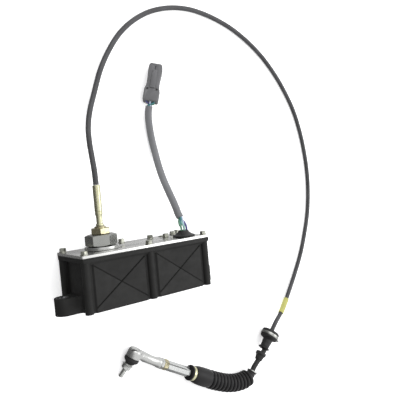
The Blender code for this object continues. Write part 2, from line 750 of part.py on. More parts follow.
def crease_cutters(name, rising, half, depth):
    """Diagonal V-shaped creases of the four panels that run the same way."""
    low = BOTTOM_Y + CREASE_FOOT_MARGIN
    high = RIM_Y - RIM_HEIGHT - RIM_TAPER - CREASE_TOP_MARGIN
    margin = GROOVE_WIDTH + CREASE_SIDE_MARGIN
    reach = COLUMN_X - COLUMN_RADIUS - margin
    near = COLUMN_RADIUS + margin
    back_near_left = BACK_MIDDLE_X - PILASTER_HALF - margin
    back_near_right = BACK_MIDDLE_X + PILASTER_HALF + margin
    front_z = FRONT_Z - SIDE_INSET + PANEL_RISE
    back_z = SIDE_INSET - PANEL_RISE
    lift = half * 0.2
    spans = [(-reach, -near, front_z + lift), (near, reach, front_z + lift),
             (-reach, back_near_left, back_z - lift), (back_near_right, reach, back_z - lift)]
    bm = bmesh.new()
    for left, right, z in spans:
        start = Vector((left, low if rising else high, z))
        end = Vector((right, high if rising else low, z))
        frame = frame_at((start + end) / 2, end - start, OUT)
        made = bmesh.ops.create_cone(bm, cap_ends=True, segments=4, radius1=half, radius2=half,
                                     depth=(end - start).length)
        bmesh.ops.scale(bm, verts=made["verts"], vec=(depth / half, 1, 1))
        bmesh.ops.transform(bm, matrix=frame, verts=made["verts"])
    mesh = bpy.data.meshes.new(name)
    bm.to_mesh(mesh)
    bm.free()
    return keep(bpy.data.objects.new(name, mesh), True)


def hole_cutters(name, places, radius, low, high):
    bm = bmesh.new()
    for x, z in places:
        made = bmesh.ops.create_cone(bm, cap_ends=True, segments=SMALL_SIDES, radius1=radius, radius2=radius,
                                     depth=high - low)
        frame = frame_at((x, (low + high) / 2, z), UP)
        bmesh.ops.transform(bm, matrix=frame, verts=made["verts"])
    mesh = bpy.data.meshes.new(name)
    bm.to_mesh(mesh)
    bm.free()
    return keep(bpy.data.objects.new(name, mesh), True)


def make_housing():
    box = as_mesh(extruded("housing", [plan_outline()], BOTTOM_Y, RIM_Y - RIM_HEIGHT / 2, True, filled=False))
    reach = HALF_LENGTH - RIM_INSET
    rim = rounded_rectangle(-reach, reach, RIM_INSET, BOX_DEPTH - RIM_INSET, CORNER_RADIUS)
    combine(box, rim_taper(), "UNION")
    rim_slab = extruded("rim", [rim], RIM_Y - RIM_HEIGHT, RIM_Y, True, cutter=True)
    combine(box, as_mesh(rim_slab, True), "UNION")
    for name, side in (("left_lug", -1), ("right_lug", 1)):
        lug = extruded(name, [lug_outline(side)], LUG_LOW_Y, LUG_LOW_Y + LUG_HEIGHT, True, cutter=True)
        combine(box, as_mesh(lug, True), "UNION")
    inside = [opening_outline()]
    cavity = extruded("cavity", inside, BOTTOM_Y + WALL, RIM_Y + 0.002, True, cutter=True, filled=False)
    combine(box, as_mesh(cavity, True))
    depth = SCREW_LENGTH + FIT_GAP + 0.001
    combine(box, hole_cutters("column_holes", COVER_SCREW_PLACES, SCREW_HOLE, COVER_Y - depth, RIM_Y + 0.002))
    lug_places = [(-LUG_X, LUG_Z), (LUG_X, LUG_Z)]
    lug_top = LUG_LOW_Y + LUG_HEIGHT
    combine(box, hole_cutters("lug_holes", lug_places, BUSH_RADIUS + FIT_GAP, LUG_LOW_Y - 0.002, lug_top + 0.002))
    combine(box, crease_cutters("creases_rising", True, RISING_CREASE_HALF, RISING_CREASE_DEPTH))
    combine(box, crease_cutters("creases_falling", False, FALLING_CREASE_HALF, FALLING_CREASE_DEPTH))
    black_plastic(box)
    for name, x in (("left_lug_bush", -LUG_X), ("right_lug_bush", LUG_X)):
        bush = ring(name, BUSH_RADIUS, BUSH_BORE, LUG_LOW_Y, lug_top, (x, 0, LUG_Z), UP, SMALL_SIDES)
        zinc_steel(bush)


# Cover
def make_cover():
    hole_places = COVER_SCREW_PLACES + MECHANISM_SCREW_PLACES
    outline = rounded_rectangle(-HALF_LENGTH, HALF_LENGTH, 0, BOX_DEPTH, CORNER_RADIUS)
    holes = [circle(x, z, SCREW_HOLE) for x, z in hole_places]
    holes.append(circle(*VENT_PLACE, VENT_STEM + FIT_GAP))
    holes.append(circle(GLAND_X, CABLE_Z, GLAND_SHANK_RADIUS + FIT_GAP, ROUND_SIDES))
    holes.append(circle(*GROMMET_PLACE, DOME_NECK_RADIUS + FIT_GAP, ROUND_SIDES))
    bright_aluminium(extruded("cover_plate", [outline] + holes, COVER_INNER_Y, COVER_Y, True))
    seal = [circle(x, z, SCREW_HOLE) for x, z in COVER_SCREW_PLACES]
    low = RIM_Y + FIT_GAP
    gasket = extruded("cover_gasket", [outline, opening_outline()] + seal, low, low + GASKET_THICK, True)
    black_rubber(gasket)


def hex_flange_screw(name, length):
    """A flanged hexagon screw along Z, seated at the origin."""
    top = SCREW_FLANGE_HEIGHT
    profile = [(0, top), (SCREW_FLATS / 2, top), (SCREW_FLANGE_RADIUS, top * 0.5), (SCREW_FLANGE_RADIUS, 0),
               (SCREW_RADIUS, 0), (SCREW_RADIUS, -length), (0, -length)]
    screw = turned(name, profile, (0, 0, 0), OUT, sides=12)
    head_profile = [(0, top + SCREW_HEAD), (SCREW_FLATS * 0.46, top + SCREW_HEAD),
                    (SCREW_FLATS * 0.60, top + SCREW_HEAD * 0.8), (SCREW_FLATS * 0.60, top * 0.4),
                    (0, top * 0.4)]
    chamfer = turned(name + "_chamfer", head_profile, (0, 0, 0), OUT, sides=12, cutter=True)
    head = prism(name + "_head", SCREW_FLATS, 0, top + SCREW_HEAD + 0.001, (0, 0, 0), OUT, cutter=True)
    combine(head, chamfer, "INTERSECT")
    return combine(screw, as_mesh(head, True), "UNION")


def make_cover_screws():
    seat = COVER_Y + FIT_GAP
    for name, places, length, turn in (("cover_screw", COVER_SCREW_PLACES, SCREW_LENGTH, 17),
                                       ("mechanism_screw", MECHANISM_SCREW_PLACES, MECHANISM_SCREW_LENGTH, 25)):
        frames = []
        for i, (x, z) in enumerate(places):
            angle = math.radians(turn * (i + 1))
            frames.append(frame_at((x, seat, z), UP, (math.cos(angle), 0, math.sin(angle))))
        zinc_steel(copies(name, hex_flange_screw(name + "_pattern", length), frames)[0])
    stem = -COVER_THICK + FIT_GAP
    vent = [(0, VENT_HEIGHT), (VENT_RADIUS * 0.9, VENT_HEIGHT), (VENT_RADIUS, VENT_HEIGHT * 0.6), (VENT_RADIUS, 0),
            (VENT_STEM, 0), (VENT_STEM, stem), (0, stem)]
    x, z = VENT_PLACE
    zinc_steel(turned("vent_plug", vent, (x, seat, z), UP, sides=24))


# Cable outlet
def make_gland():
    washer_y = COVER_Y + FIT_GAP
    nut_y = washer_y + WASHER_THICK + FIT_GAP
    locknut_y = nut_y + GLAND_NUT_HEIGHT + FIT_GAP
    neck_top = locknut_y + LOCKNUT_HEIGHT + GLAND_NECK_PROUD
    flange_top = COVER_INNER_Y - FIT_GAP
    flange_low = flange_top - GLAND_FLANGE_THICK
    pocket = neck_top - HUB_SPIGOT_DEPTH
    centre = (GLAND_X, 0, CABLE_Z)
    edge = 0.0006
    washer = [(WASHER_RADIUS - edge, WASHER_THICK), (WASHER_RADIUS, WASHER_THICK - edge), (WASHER_RADIUS, 0),
              (GLAND_SHANK_RADIUS + FIT_GAP, 0), (GLAND_SHANK_RADIUS + FIT_GAP, WASHER_THICK)]
    zinc_steel(turned("gland_washer", washer, (GLAND_X, washer_y, CABLE_Z), UP, True, 36))
    nut = hex_nut("gland_nut", GLAND_FLATS, GLAND_NUT_HEIGHT, GLAND_SHANK_RADIUS + FIT_GAP,
                  (GLAND_X, nut_y, CABLE_Z), UP, (0.6947, 0, 0.7193), 36)
    zinc_steel(nut)
    locknut = hex_nut("gland_locknut", LOCKNUT_FLATS, LOCKNUT_HEIGHT, GLAND_NECK_RADIUS + FIT_GAP,
                      (GLAND_X, locknut_y, CABLE_Z), UP, (0.90, 0, 0.43), 24)
    yellow_zinc(locknut)
    shoulder = locknut_y - FIT_GAP
    body = [(GLAND_NECK_RADIUS - edge, neck_top), (GLAND_NECK_RADIUS, neck_top - edge), (GLAND_NECK_RADIUS, shoulder),
            (GLAND_SHANK_RADIUS, shoulder), (GLAND_SHANK_RADIUS, flange_top), (GLAND_FLANGE_RADIUS, flange_top),
            (GLAND_FLANGE_RADIUS, flange_low), (WIRE_BORE, flange_low), (WIRE_BORE, pocket),
            (HUB_SPIGOT_RADIUS + FIT_GAP, pocket), (HUB_SPIGOT_RADIUS + FIT_GAP, neck_top)]
    yellow_zinc(turned("gland_body", body, centre, UP, True, 24))
    narrow_top = neck_top + HUB_NARROW_LENGTH
    full_from = narrow_top + HUB_TAPER_LENGTH
    hub = [(HUB_RADIUS - edge, HUB_END_Y), (HUB_RADIUS, HUB_END_Y - edge), (HUB_RADIUS, full_from),
           (HUB_SPIGOT_RADIUS, narrow_top), (HUB_SPIGOT_RADIUS, pocket + FIT_GAP), (WIRE_BORE, pocket + FIT_GAP),
           (WIRE_BORE, HUB_END_Y)]
    yellow_zinc(turned("hub_tube", hub, centre, UP, True, 20))


def make_cables():
    fitting, axis = Vector(BULKHEAD_START), Vector(BULKHEAD_AXIS).normalized()
    tail = [fitting - axis * CONDUIT_LEAD, fitting - axis * FIT_GAP]
    route = led_from((GLAND_X, HUB_END_Y + FIT_GAP, CABLE_Z), CONDUIT_ROUTE)
    line = smooth_route(route + tail, CONDUIT_STEP)
    conduit = tube("control_cable", line, CONDUIT_RADIUS)
    finish(conduit, (0.075, 0.075, 0.080), 0.50)
    end = NIPPLE_ANGLE - math.degrees((NIPPLE_RADIUS + 2 * FIT_GAP) / DRUM_WIRE_RADIUS)
    wire = [(x, y, CABLE_Z) for x, y in arc(OUTPUT_X, SHAFT_Y, DRUM_WIRE_RADIUS, end, 180, 8)]
    steps = 8
    for i in range(1, steps + 1):
        wire.append((GLAND_X, SHAFT_Y + (HUB_END_Y - FIT_GAP - SHAFT_Y) * i / steps, CABLE_Z))
    zinc_steel(tube("inner_cable", wire, WIRE_RADIUS))
    start = route_length(line) - TAG_TAIL - TAG_LENGTH
    run = stretch(line, start, start + TAG_LENGTH, 5)
    tag = as_mesh(tube("tag_band", run, TAG_RADIUS, 3))
    inside = [run[0] * 2 - run[1]] + run + [run[-1] * 2 - run[-2]]
    combine(tag, as_mesh(tube("tag_hole", inside, CONDUIT_RADIUS + 1.5 * FIT_GAP, 3), True))
    finish(tag, (0.80, 0.72, 0.12), 0.45)


# Bulkhead grommet, bracket, snap ring, seal and stem
def make_bulkhead():
    axis = Vector(BULKHEAD_AXIS).normalized()
    start = Vector(BULKHEAD_START)
    bracket_at = CAP_LENGTH + FIT_GAP
    flange_at = bracket_at + BRACKET_THICK + FIT_GAP
    barrel_at = flange_at + GROMMET_FLANGE
    barrel_end = barrel_at + BARREL_LENGTH
    waist = BARREL_RADIUS * 0.86
    snap_end = barrel_end + SNAP_LENGTH
    seal_at = snap_end + NECK_LENGTH
    seal_end = seal_at + SEAL_LENGTH
    bore = STEM_RADIUS + FIT_GAP
    # the heights below run back along the axis, so the cap is on top
    def at(distance):
        return -distance
    rubber = [(CONDUIT_RADIUS + 0.0022, at(0)), (CAP_RADIUS * 0.93, at(0.0022)),
              (CAP_RADIUS, at(0.0042)), (CAP_RADIUS, at(CAP_LENGTH)), (waist, at(CAP_LENGTH)), (waist, at(flange_at)),
              (CAP_RADIUS, at(flange_at)), (CAP_RADIUS * 0.96, at(flange_at + GROMMET_FLANGE * 0.6)),
              (BARREL_RADIUS * 1.08, at(barrel_at)), (BARREL_RADIUS, at(barrel_at + 0.002)),
              (BARREL_RADIUS * 0.95, at(barrel_end)), (bore, at(barrel_end)), (bore, at(0.0010)), (0.0012, at(0.0010)),
              (0.0012, at(0))]
    black_rubber(turned("bulkhead_grommet", rubber, start, -axis, True, 24))
    across = (0.729, -0.684, 0.0)
    bracket = [circle(0, 0, BRACKET_RADIUS, ROUND_SIDES)]
    disc = extruded("bulkhead_bracket", bracket + [circle(0, 0, waist + FIT_GAP, ROUND_SIDES)],
                    -BRACKET_THICK / 2, BRACKET_THICK / 2)
    place = start + axis * (bracket_at + BRACKET_THICK / 2)
    disc = as_mesh(aim(disc, place, -axis, across))
    thin = BRACKET_THICK * 0.36
    ear_x = EAR_REACH - EAR_WIDTH
    ear_outline = [(ear_x + EAR_WIDTH * x, EAR_HALF * y) for x, y in arc(0, 0, 1, -90, 90, 10)]
    ear_outline += [(BRACKET_RADIUS * 0.8, EAR_HALF), (BRACKET_RADIUS * 0.8, -EAR_HALF)]
    ear_hole = [(ear_x + EAR_HOLE_WIDTH * x, EAR_HOLE_HALF * y) for x, y in circle(0, 0, 1)]
    ear = extruded("bracket_ear", [ear_outline, ear_hole], -thin / 2, thin / 2, cutter=True)
    ear = as_mesh(aim(ear, place, -axis, across), True)
    zinc_steel(combine(disc, ear, "UNION"))
    snap = [(SNAP_RADIUS * 0.86, at(barrel_end + FIT_GAP)), (SNAP_RADIUS, at(barrel_end + SNAP_LENGTH * 0.55)),
            (SNAP_RADIUS, at(snap_end)), (bore, at(snap_end)), (bore, at(barrel_end + FIT_GAP))]
    black_rubber(turned("snap_ring", snap, start, -axis, True, 24))
    seal = [(SEAL_TOP_RADIUS * 0.96, at(seal_at)), (SEAL_TOP_RADIUS, at(seal_at + 0.0008)),
            (SEAL_TOP_RADIUS, at(seal_at + SEAL_LENGTH * 0.36)), (SEAL_TOP_RADIUS * 0.88, at(seal_at + SEAL_LENGTH * 0.42)),
            (SEAL_END_RADIUS, at(seal_end)), (bore, at(seal_end)), (bore, at(seal_at))]
    black_rubber(turned("cone_seal", seal, start, -axis, True, 24))
    return start, axis, bore, seal_end


def make_boot(start, axis, seal_end):
    ball, rod, stud, mouth = rod_frame()
    boot_start = ball + rod * (sleeve_end() + FIT_GAP)
    own = [boot_start, boot_start + rod * BOOT_LEAD] + [Vector(point) for point in BOOT_ROUTE]
    own.append(start + axis * (seal_end + 0.003))
    route = smooth_route(own, 0.003)
    total = route_length(route)
    stem_from = BOOT_LENGTH - 0.012
    stem_points = stretch(route, stem_from, total, 12)
    for back in (seal_end - 0.004, (seal_end + CAP_LENGTH) / 2, 0.0016):
        stem_points.append(start + axis * back)
    black_rubber(tube("cable_stem", stem_points, STEM_RADIUS, 3))
    core = stretch(route, SPIGOT_LENGTH + 0.002, stem_from - FIT_GAP * 2, 16)
    zinc_steel(tube("boot_core_cable", core, CORE_RADIUS))
    guide = tube("boot_guide", route, 0.0)
    guide.data.bevel_depth = 0
    guide.data.use_fill_caps = False
    PARTS.objects.unlink(guide)
    keep(guide, True)
    bore = SPIGOT_RADIUS + FIT_GAP
    neck = STEM_RADIUS + 3 * FIT_GAP
    pitch = (BOOT_LENGTH - BOOT_LIP - BAND_WIDTH - BOOT_COLLAR - 0.004) / BOOT_FOLDS
    first = BOOT_LIP + BAND_WIDTH + BOOT_COLLAR - 0.0085
    outer = [(BAND_RADIUS - 0.0002, 0), (BAND_RADIUS + 0.0008, 0.0008), (BAND_RADIUS + 0.0006, BOOT_LIP - 0.0003),
             (BAND_RADIUS - 0.0012, BOOT_LIP), (BAND_RADIUS - 0.0012, BOOT_LIP + BAND_WIDTH),
             (BAND_RADIUS + 0.0010, BOOT_LIP + BAND_WIDTH + 0.0004), (BOOT_RADIUS - 0.0012, BOOT_LIP + BAND_WIDTH + 0.006),
             (BOOT_RADIUS - 0.0004, first - 0.004), (BOOT_RADIUS - 0.0006, first)]
    inner = [(bore, 0), (bore, BOOT_LIP + BAND_WIDTH + 0.002),
             (BOOT_RADIUS - BOOT_SKIN - 0.0016, BOOT_LIP + BAND_WIDTH + 0.008), (BOOT_ROOT - BOOT_SKIN, first)]
    for i in range(BOOT_FOLDS):
        low = first + i * pitch
        crest = BOOT_RADIUS if i < BOOT_FOLDS - 1 else BOOT_RADIUS - 0.0004
        outer += [(crest, low + pitch * 0.36), (crest, low + pitch * 0.64), (BOOT_ROOT, low + pitch)]
        inner += [(crest - BOOT_SKIN, low + pitch * 0.5), (BOOT_ROOT - BOOT_SKIN, low + pitch)]
    end = first + BOOT_FOLDS * pitch
    outer += [(BOOT_NECK_RADIUS + 0.0012, end + 0.0018), (BOOT_NECK_RADIUS, end + 0.0030),
              (BOOT_NECK_RADIUS - 0.0002, BOOT_LENGTH)]
    inner += [(neck, end + 0.0012), (neck, BOOT_LENGTH)]
    profile = list(reversed(outer)) + inner
    boot = turned("bellows_boot", profile, (0, 0, 0), OUT, True, 16)
    bend = boot.modifiers.new("bend", "CURVE")
    bend.object = guide
    bend.deform_axis = "POS_Z"
    black_rubber(boot)
    clip_at = BOOT_LENGTH - CLIP_WIDTH - 0.0006
    a, b = stretch(route, clip_at, clip_at + CLIP_WIDTH, 1)
    clip = ring("boot_clip", BOOT_NECK_RADIUS + 0.0011, BOOT_NECK_RADIUS + FIT_GAP, 0, CLIP_WIDTH, a, b - a, 24)
    zinc_steel(clip)


# Rod end
def rod_frame():
    ball = Vector(BALL_CENTRE)
    rod = (Vector(ROD_FAR_POINT) - ball).normalized()
    stud = (Vector(STUD_TIP) - ball).normalized()
    mouth = (stud - rod * stud.dot(rod)).normalized()
    return ball, rod, stud, mouth


def sleeve_end():
    """Distance from the ball's centre to the far end of the hexagonal sleeve."""
    return SHANK_END + PALE_NUT_HEIGHT + YELLOW_NUT_HEIGHT + 3 * FIT_GAP + SLEEVE_LENGTH


def make_rod():
    ball, rod, stud, mouth = rod_frame()
    top = -CUP_TOP
    cup = [(0, CUP_MOUTH), (CUP_RADIUS * 0.92, CUP_MOUTH), (CUP_RADIUS, CUP_MOUTH - 0.0012), (CUP_RADIUS, top + 0.004),
           (CUP_RADIUS * 0.90, top + 0.0018), (CUP_RADIUS * 0.62, top + 0.0004), (0, top)]
    socket = turned("ball_socket", cup, ball, mouth, sides=24)
    neck = SHANK_END - SHANK_COLLAR_LENGTH
    shank = [(0, SHANK_END), (SHANK_COLLAR * 0.94, SHANK_END), (SHANK_COLLAR, SHANK_END - 0.0008),
             (SHANK_COLLAR, neck + 0.0012), (SHANK_COLLAR * 0.9, neck), (SHANK_RADIUS, neck - 0.010),
             (SHANK_NECK, CUP_RADIUS + 0.0050), (SHANK_ROOT, CUP_RADIUS + 0.0012), (SHANK_ROOT, CUP_RADIUS - 0.003),
             (0, CUP_RADIUS - 0.003)]
    combine(socket, turned("socket_shank", shank, ball, rod, sides=20, cutter=True), "UNION")
    pocket = BALL_RADIUS + RUN_GAP + LINER_SKIN + FIT_GAP
    liner_mouth = BALL_RADIUS * 0.53
    room = [(0, CUP_MOUTH + 0.002), (MOUTH_RADIUS, CUP_MOUTH + 0.002), (MOUTH_RADIUS, liner_mouth + FIT_GAP),
            (pocket, liner_mouth + FIT_GAP), (pocket, -BALL_RADIUS * 0.6)]
    room += [(pocket * 0.72, -BALL_RADIUS * 1.12), (0, -BALL_RADIUS * 1.18)]
    combine(socket, turned("socket_room", room, ball, mouth, sides=24, cutter=True))
    thread = drum("socket_thread", ROD_RADIUS + FIT_GAP, SHANK_END - 0.018, SHANK_END + 0.002, ball, rod, SMALL_SIDES, True)
    combine(socket, thread)
    zinc_steel(socket)
    liner_outer = pocket - FIT_GAP
    cavity = BALL_RADIUS + RUN_GAP
    lip = math.degrees(math.asin(liner_mouth / cavity))
    liner = [(0, -cavity)] + arc(0, 0, cavity, -90, lip, 7)[1:]
    liner += [(liner_outer, liner_mouth), (liner_outer, -BALL_RADIUS * 0.55),
              (liner_outer * 0.74, -BALL_RADIUS * 1.06), (0, -BALL_RADIUS * 1.12)]
    white_plastic(turned("socket_liner", liner, ball, mouth, False, 20))
    step = SHANK_END + FIT_GAP
    side = Vector((0, 0, 1))
    pale = hex_nut("pale_locknut", PALE_NUT_FLATS, PALE_NUT_HEIGHT, ROD_RADIUS + FIT_GAP, ball + rod * step, rod, side)
    zinc_steel(pale)
    step += PALE_NUT_HEIGHT + FIT_GAP
    yellow = hex_nut("yellow_locknut", YELLOW_NUT_FLATS, YELLOW_NUT_HEIGHT, ROD_RADIUS + FIT_GAP, ball + rod * step, rod,
                     side)
    yellow_zinc(yellow)
    step += YELLOW_NUT_HEIGHT + FIT_GAP
    sleeve = prism("rod_sleeve", SLEEVE_FLATS, 0, SLEEVE_LENGTH, ball + rod * step, rod, side)
    spigot = drum("sleeve_spigot", SPIGOT_RADIUS, SLEEVE_LENGTH - 0.001, SLEEVE_LENGTH + SPIGOT_LENGTH,
                  ball + rod * step, rod, 24, True)
    combine(sleeve, spigot, "UNION")
    inner = drum("sleeve_thread", ROD_RADIUS + FIT_GAP, -0.002, SLEEVE_THREAD_DEPTH, ball + rod * step, rod, SMALL_SIDES, True)
    combine(sleeve, inner)
    bright_aluminium(sleeve)
    screw = drum("link_screw", ROD_RADIUS, SHANK_END - LINK_SCREW_HOLD, step + LINK_SCREW_REACH, ball, rod,
                 SMALL_SIDES)
    zinc_steel(screw)
    band_start = step + SLEEVE_LENGTH + FIT_GAP + BOOT_LIP + FIT_GAP
    band = ring("boot_band", BAND_RADIUS + 0.0003, BAND_RADIUS - 0.0012 + FIT_GAP, 0, BAND_WIDTH - 2 * FIT_GAP,
                ball + rod * band_start, rod, 28)
    yellow_zinc(band)


def make_stud():
    ball, rod, stud, mouth = rod_frame()
    length = (Vector(STUD_TIP) - ball).length
    neck = STUD_RADIUS
    meet = math.sqrt(BALL_RADIUS ** 2 - neck ** 2)
    top = math.degrees(math.asin(meet / BALL_RADIUS))
    sphere = [(BALL_RADIUS * math.cos(math.radians(a)), BALL_RADIUS * math.sin(math.radians(a)))
              for a in [top + (-90 - top) * i / 8 for i in range(9)]]
    sphere[-1] = (0, -BALL_RADIUS)
    profile = [(0, length), (neck * 0.75, length), (neck, length - 0.0008)] + sphere
    zinc_steel(turned("ball_stud", profile, ball, stud, False, 20))
    seat = NUT_START
    corner = NUT_FLATS / math.sqrt(3)
    bore = STUD_RADIUS + FIT_GAP
    height = NUT_FLANGE_THICK + NUT_HEIGHT
    flange = [(bore + 0.0004, height * 0.7), (NUT_FLATS / 2, NUT_FLANGE_THICK),
              (NUT_FLANGE_RADIUS, NUT_FLANGE_THICK * 0.65), (NUT_FLANGE_RADIUS, NUT_STEP_HEIGHT),
              (NUT_STEP_RADIUS, NUT_STEP_HEIGHT), (NUT_STEP_RADIUS, 0), (bore, 0), (bore, height * 0.7)]
    nut = turned("stud_nut", flange, ball + stud * seat, stud, True, 24)
    hexagon = prism("stud_nut_hexagon", NUT_FLATS, NUT_FLANGE_THICK * 0.6, height, ball + stud * seat, stud, cutter=True)
    hole = drum("stud_nut_hole", bore, -0.002, height + 0.002, ball + stud * seat, stud, 24, True)
    chamfer = turned("stud_nut_chamfer", [(0, height + 0.0004), (NUT_FLATS * 0.47, height + 0.0004),
                                          (corner * 1.02, height - 0.0008), (corner * 1.02, -0.001), (0, -0.001)],
                     ball + stud * seat, stud, False, 24, cutter=True)
    combine(hexagon, chamfer, "INTERSECT")
    combine(hexagon, hole)
    combine(nut, as_mesh(hexagon, True), "UNION")
    zinc_steel(nut)
    base = CUP_MOUTH + FIT_GAP
    end = base + DUST_CAP_LENGTH
    skin = DUST_CAP_SKIN
    cap = [(DUST_CAP_END, end), (DUST_CAP_END + 0.0016, end - 0.0008), (DUST_CAP_RADIUS - 0.0016, base + 0.0058),
           (DUST_CAP_RADIUS - 0.0003, base + 0.0036), (DUST_CAP_RADIUS, base + 0.0022),
           (DUST_CAP_RADIUS, base + 0.0008), (DUST_CAP_RADIUS - 0.0012, base),
           (MOUTH_RADIUS + 0.0002, base), (MOUTH_RADIUS + 0.0002, base + skin),
           (DUST_CAP_RADIUS - skin - 0.0006, base + 0.0026), (DUST_CAP_END + 0.0008, end - skin - 0.0008),
           (STUD_RADIUS + 0.0017, end - skin), (STUD_RADIUS + 0.0017, end)]
    black_rubber(turned("dust_cap", cap, ball, mouth, True, 20))


# Harness
def make_harness():
    x, z = GROMMET_PLACE
    seat = COVER_Y + FIT_GAP
    inner = COVER_INNER_Y - FIT_GAP - seat
    dome = [(0, DOME_HEIGHT), (DOME_TOP_RADIUS, DOME_HEIGHT), (DOME_TOP_RADIUS + 0.0010, DOME_HEIGHT * 0.88),
            (DOME_RADIUS * 0.62, DOME_HEIGHT * 0.52), (DOME_RADIUS * 0.80, DOME_HEIGHT * 0.29),
            (DOME_RADIUS * 0.97, DOME_HEIGHT * 0.20), (DOME_RADIUS, DOME_HEIGHT * 0.12), (DOME_RADIUS, 0),
            (DOME_NECK_RADIUS, 0), (DOME_NECK_RADIUS, inner),
            (DOME_INNER_RADIUS, inner), (DOME_INNER_RADIUS - 0.001, inner - DOME_INNER_THICK),
            (0, inner - DOME_INNER_THICK)]
    black_rubber(turned("harness_grommet", dome, (x, seat, z), UP, sides=28))
    sleeve_foot = (x - 0.0025, COVER_Y + 0.026, z - 0.0015)
    route = smooth_route(led_from(sleeve_foot, HARNESS_ROUTE), SLEEVE_STEP)
    finish(tube("harness_sleeve", route, SLEEVE_RADIUS, 3), (0.16, 0.16, 0.165), 0.55)
    plug = Vector(PLUG_START)
    plug_axis = Vector(PLUG_AXIS).normalized()
    first = (route[1] - route[0]).normalized()
    last = (route[-1] - route[-2]).normalized()
    dome_top = Vector((x, seat + DOME_HEIGHT + FIT_GAP, z))
    entry = route[0] - first * FIT_GAP
    leaving = route[-1] + last * 4 * FIT_GAP
    socket = plug - plug_axis * FIT_GAP
    lead_bundle("harness_leads_lower", [dome_top, dome_top + UP * 0.005, entry - first * 0.005, entry])
    lead_bundle("harness_leads_upper", [leaving, leaving.lerp(socket, 0.5), socket])


def lead_bundle(name, points):
    """The leads of the harness, bound into one round bundle."""
    return finish(tube(name, points, BUNDLE_RADIUS), (0.10, 0.45, 0.30), 0.45)


def plug_outline():
    """The front part of the plug seen from its broad face, from the rear shoulder to the rounded nose."""
    shoulder = PLUG_REAR_LENGTH + PLUG_SHOULDER
    waist_at = PLUG_LENGTH * 0.52
    widest_at = PLUG_LENGTH * 0.76
    nose = PLUG_LENGTH - PLUG_NOSE_RADIUS
    half = [(PLUG_REAR_LENGTH - 0.002, PLUG_REAR_WIDTH / 2 - 0.0006), (PLUG_REAR_LENGTH, PLUG_REAR_WIDTH / 2 - 0.0006),
            (shoulder, PLUG_WAIST_WIDTH / 2 + 0.0003), (waist_at, PLUG_WAIST_WIDTH / 2),
            (widest_at, PLUG_WIDTH / 2), (nose, PLUG_WIDTH / 2 - 0.0004)]
    half += arc(nose, PLUG_WIDTH / 2 - 0.0004 - PLUG_NOSE_RADIUS, PLUG_NOSE_RADIUS, 60, 0, 3)
    return half + [(along_plug, -across_plug) for along_plug, across_plug in reversed(half)]


def make_plug():
    plug = Vector(PLUG_START)
    axis = Vector(PLUG_AXIS).normalized()
    tilt = math.radians(PLUG_TILT)
    level = axis.cross(OUT).normalized()
    side = level * math.cos(tilt) + OUT * math.sin(tilt)
    down = axis.cross(side)
    place = plug + axis * PLUG_REAR_LENGTH / 2
    rear_outline = rounded_rectangle(-PLUG_REAR_WIDTH / 2, PLUG_REAR_WIDTH / 2, -PLUG_REAR_HEIGHT / 2,
                                     PLUG_REAR_HEIGHT / 2, 0.004)
    body = extruded("plug_body", [rear_outline], -PLUG_REAR_LENGTH / 2, PLUG_REAR_LENGTH / 2)
    body = as_mesh(aim(body, place, axis, side))
    front = extruded("plug_front", [plug_outline()], -PLUG_HEIGHT / 2, PLUG_HEIGHT / 2, cutter=True, filled=False)
    combine(body, as_mesh(aim(front, plug, -down, axis), True), "UNION")
    latch_length = PLUG_LENGTH * 0.46
    latch_at = plug + axis * (PLUG_REAR_LENGTH + latch_length * 0.55) - down * (PLUG_HEIGHT / 2)
    latch = block("plug_latch", (PLUG_LATCH_WIDTH, 2 * PLUG_LATCH_HEIGHT, latch_length), latch_at, axis, side, True)
    combine(body, latch, "UNION")
    cells = [(column * PLUG_PITCH_X, row * PLUG_PITCH_Z) for row in (-0.5, 0.5) for column in (-1, 0, 1)]
    bore = drum("terminal_bore", TERMINAL_HOLE, -TERMINAL_DEPTH / 2, TERMINAL_DEPTH / 2, (0, 0, 0), OUT, 12)
    bore_at = plug + axis * (PLUG_LENGTH - TERMINAL_DEPTH / 2 + 0.001)
    frames = [frame_at(bore_at + side * x + down * y, axis, side) for x, y in cells]
    combine(body, gathered("terminal_bores", bore, frames))
    margin = 0.002
    depth = PLUG_SEAL_THICK + 2 * FIT_GAP
    seal_room = rounded_rectangle(-PLUG_REAR_WIDTH / 2 + margin, PLUG_REAR_WIDTH / 2 - margin,
                                  -PLUG_REAR_HEIGHT / 2 + margin, PLUG_REAR_HEIGHT / 2 - margin, 0.003)
    room = extruded("plug_seal_room", [seal_room], -0.001, depth, cutter=True)
    combine(body, as_mesh(aim(room, plug + axis * (depth - 0.001) / 2, axis, side), True))
    grey_plastic(body)
    gap = margin + FIT_GAP
    seal_outline = rounded_rectangle(-PLUG_REAR_WIDTH / 2 + gap, PLUG_REAR_WIDTH / 2 - gap,
                                     -PLUG_REAR_HEIGHT / 2 + gap, PLUG_REAR_HEIGHT / 2 - gap, 0.003)
    blank_x, blank_y = cells[3]
    blank_hole = circle(blank_x, blank_y, TERMINAL_HOLE + FIT_GAP, 12)
    seal = extruded("plug_rear_seal", [seal_outline, blank_hole], 0, PLUG_SEAL_THICK)
    aim(seal, plug + axis * (FIT_GAP + PLUG_SEAL_THICK / 2), axis, side)
    finish(seal, (0.30, 0.12, 0.06), 0.60)
    blank = [(0, PLUG_SEAL_THICK * 0.8), (TERMINAL_HOLE, PLUG_SEAL_THICK * 0.8), (TERMINAL_HOLE, 0),
             (TERMINAL_HOLE + 0.0008, 0), (TERMINAL_HOLE + 0.0008, -0.0022), (0, -0.0022)]
    at = plug + side * blank_x + down * blank_y
    white_plastic(turned("blanking_plug", blank, at, axis, False, 12))


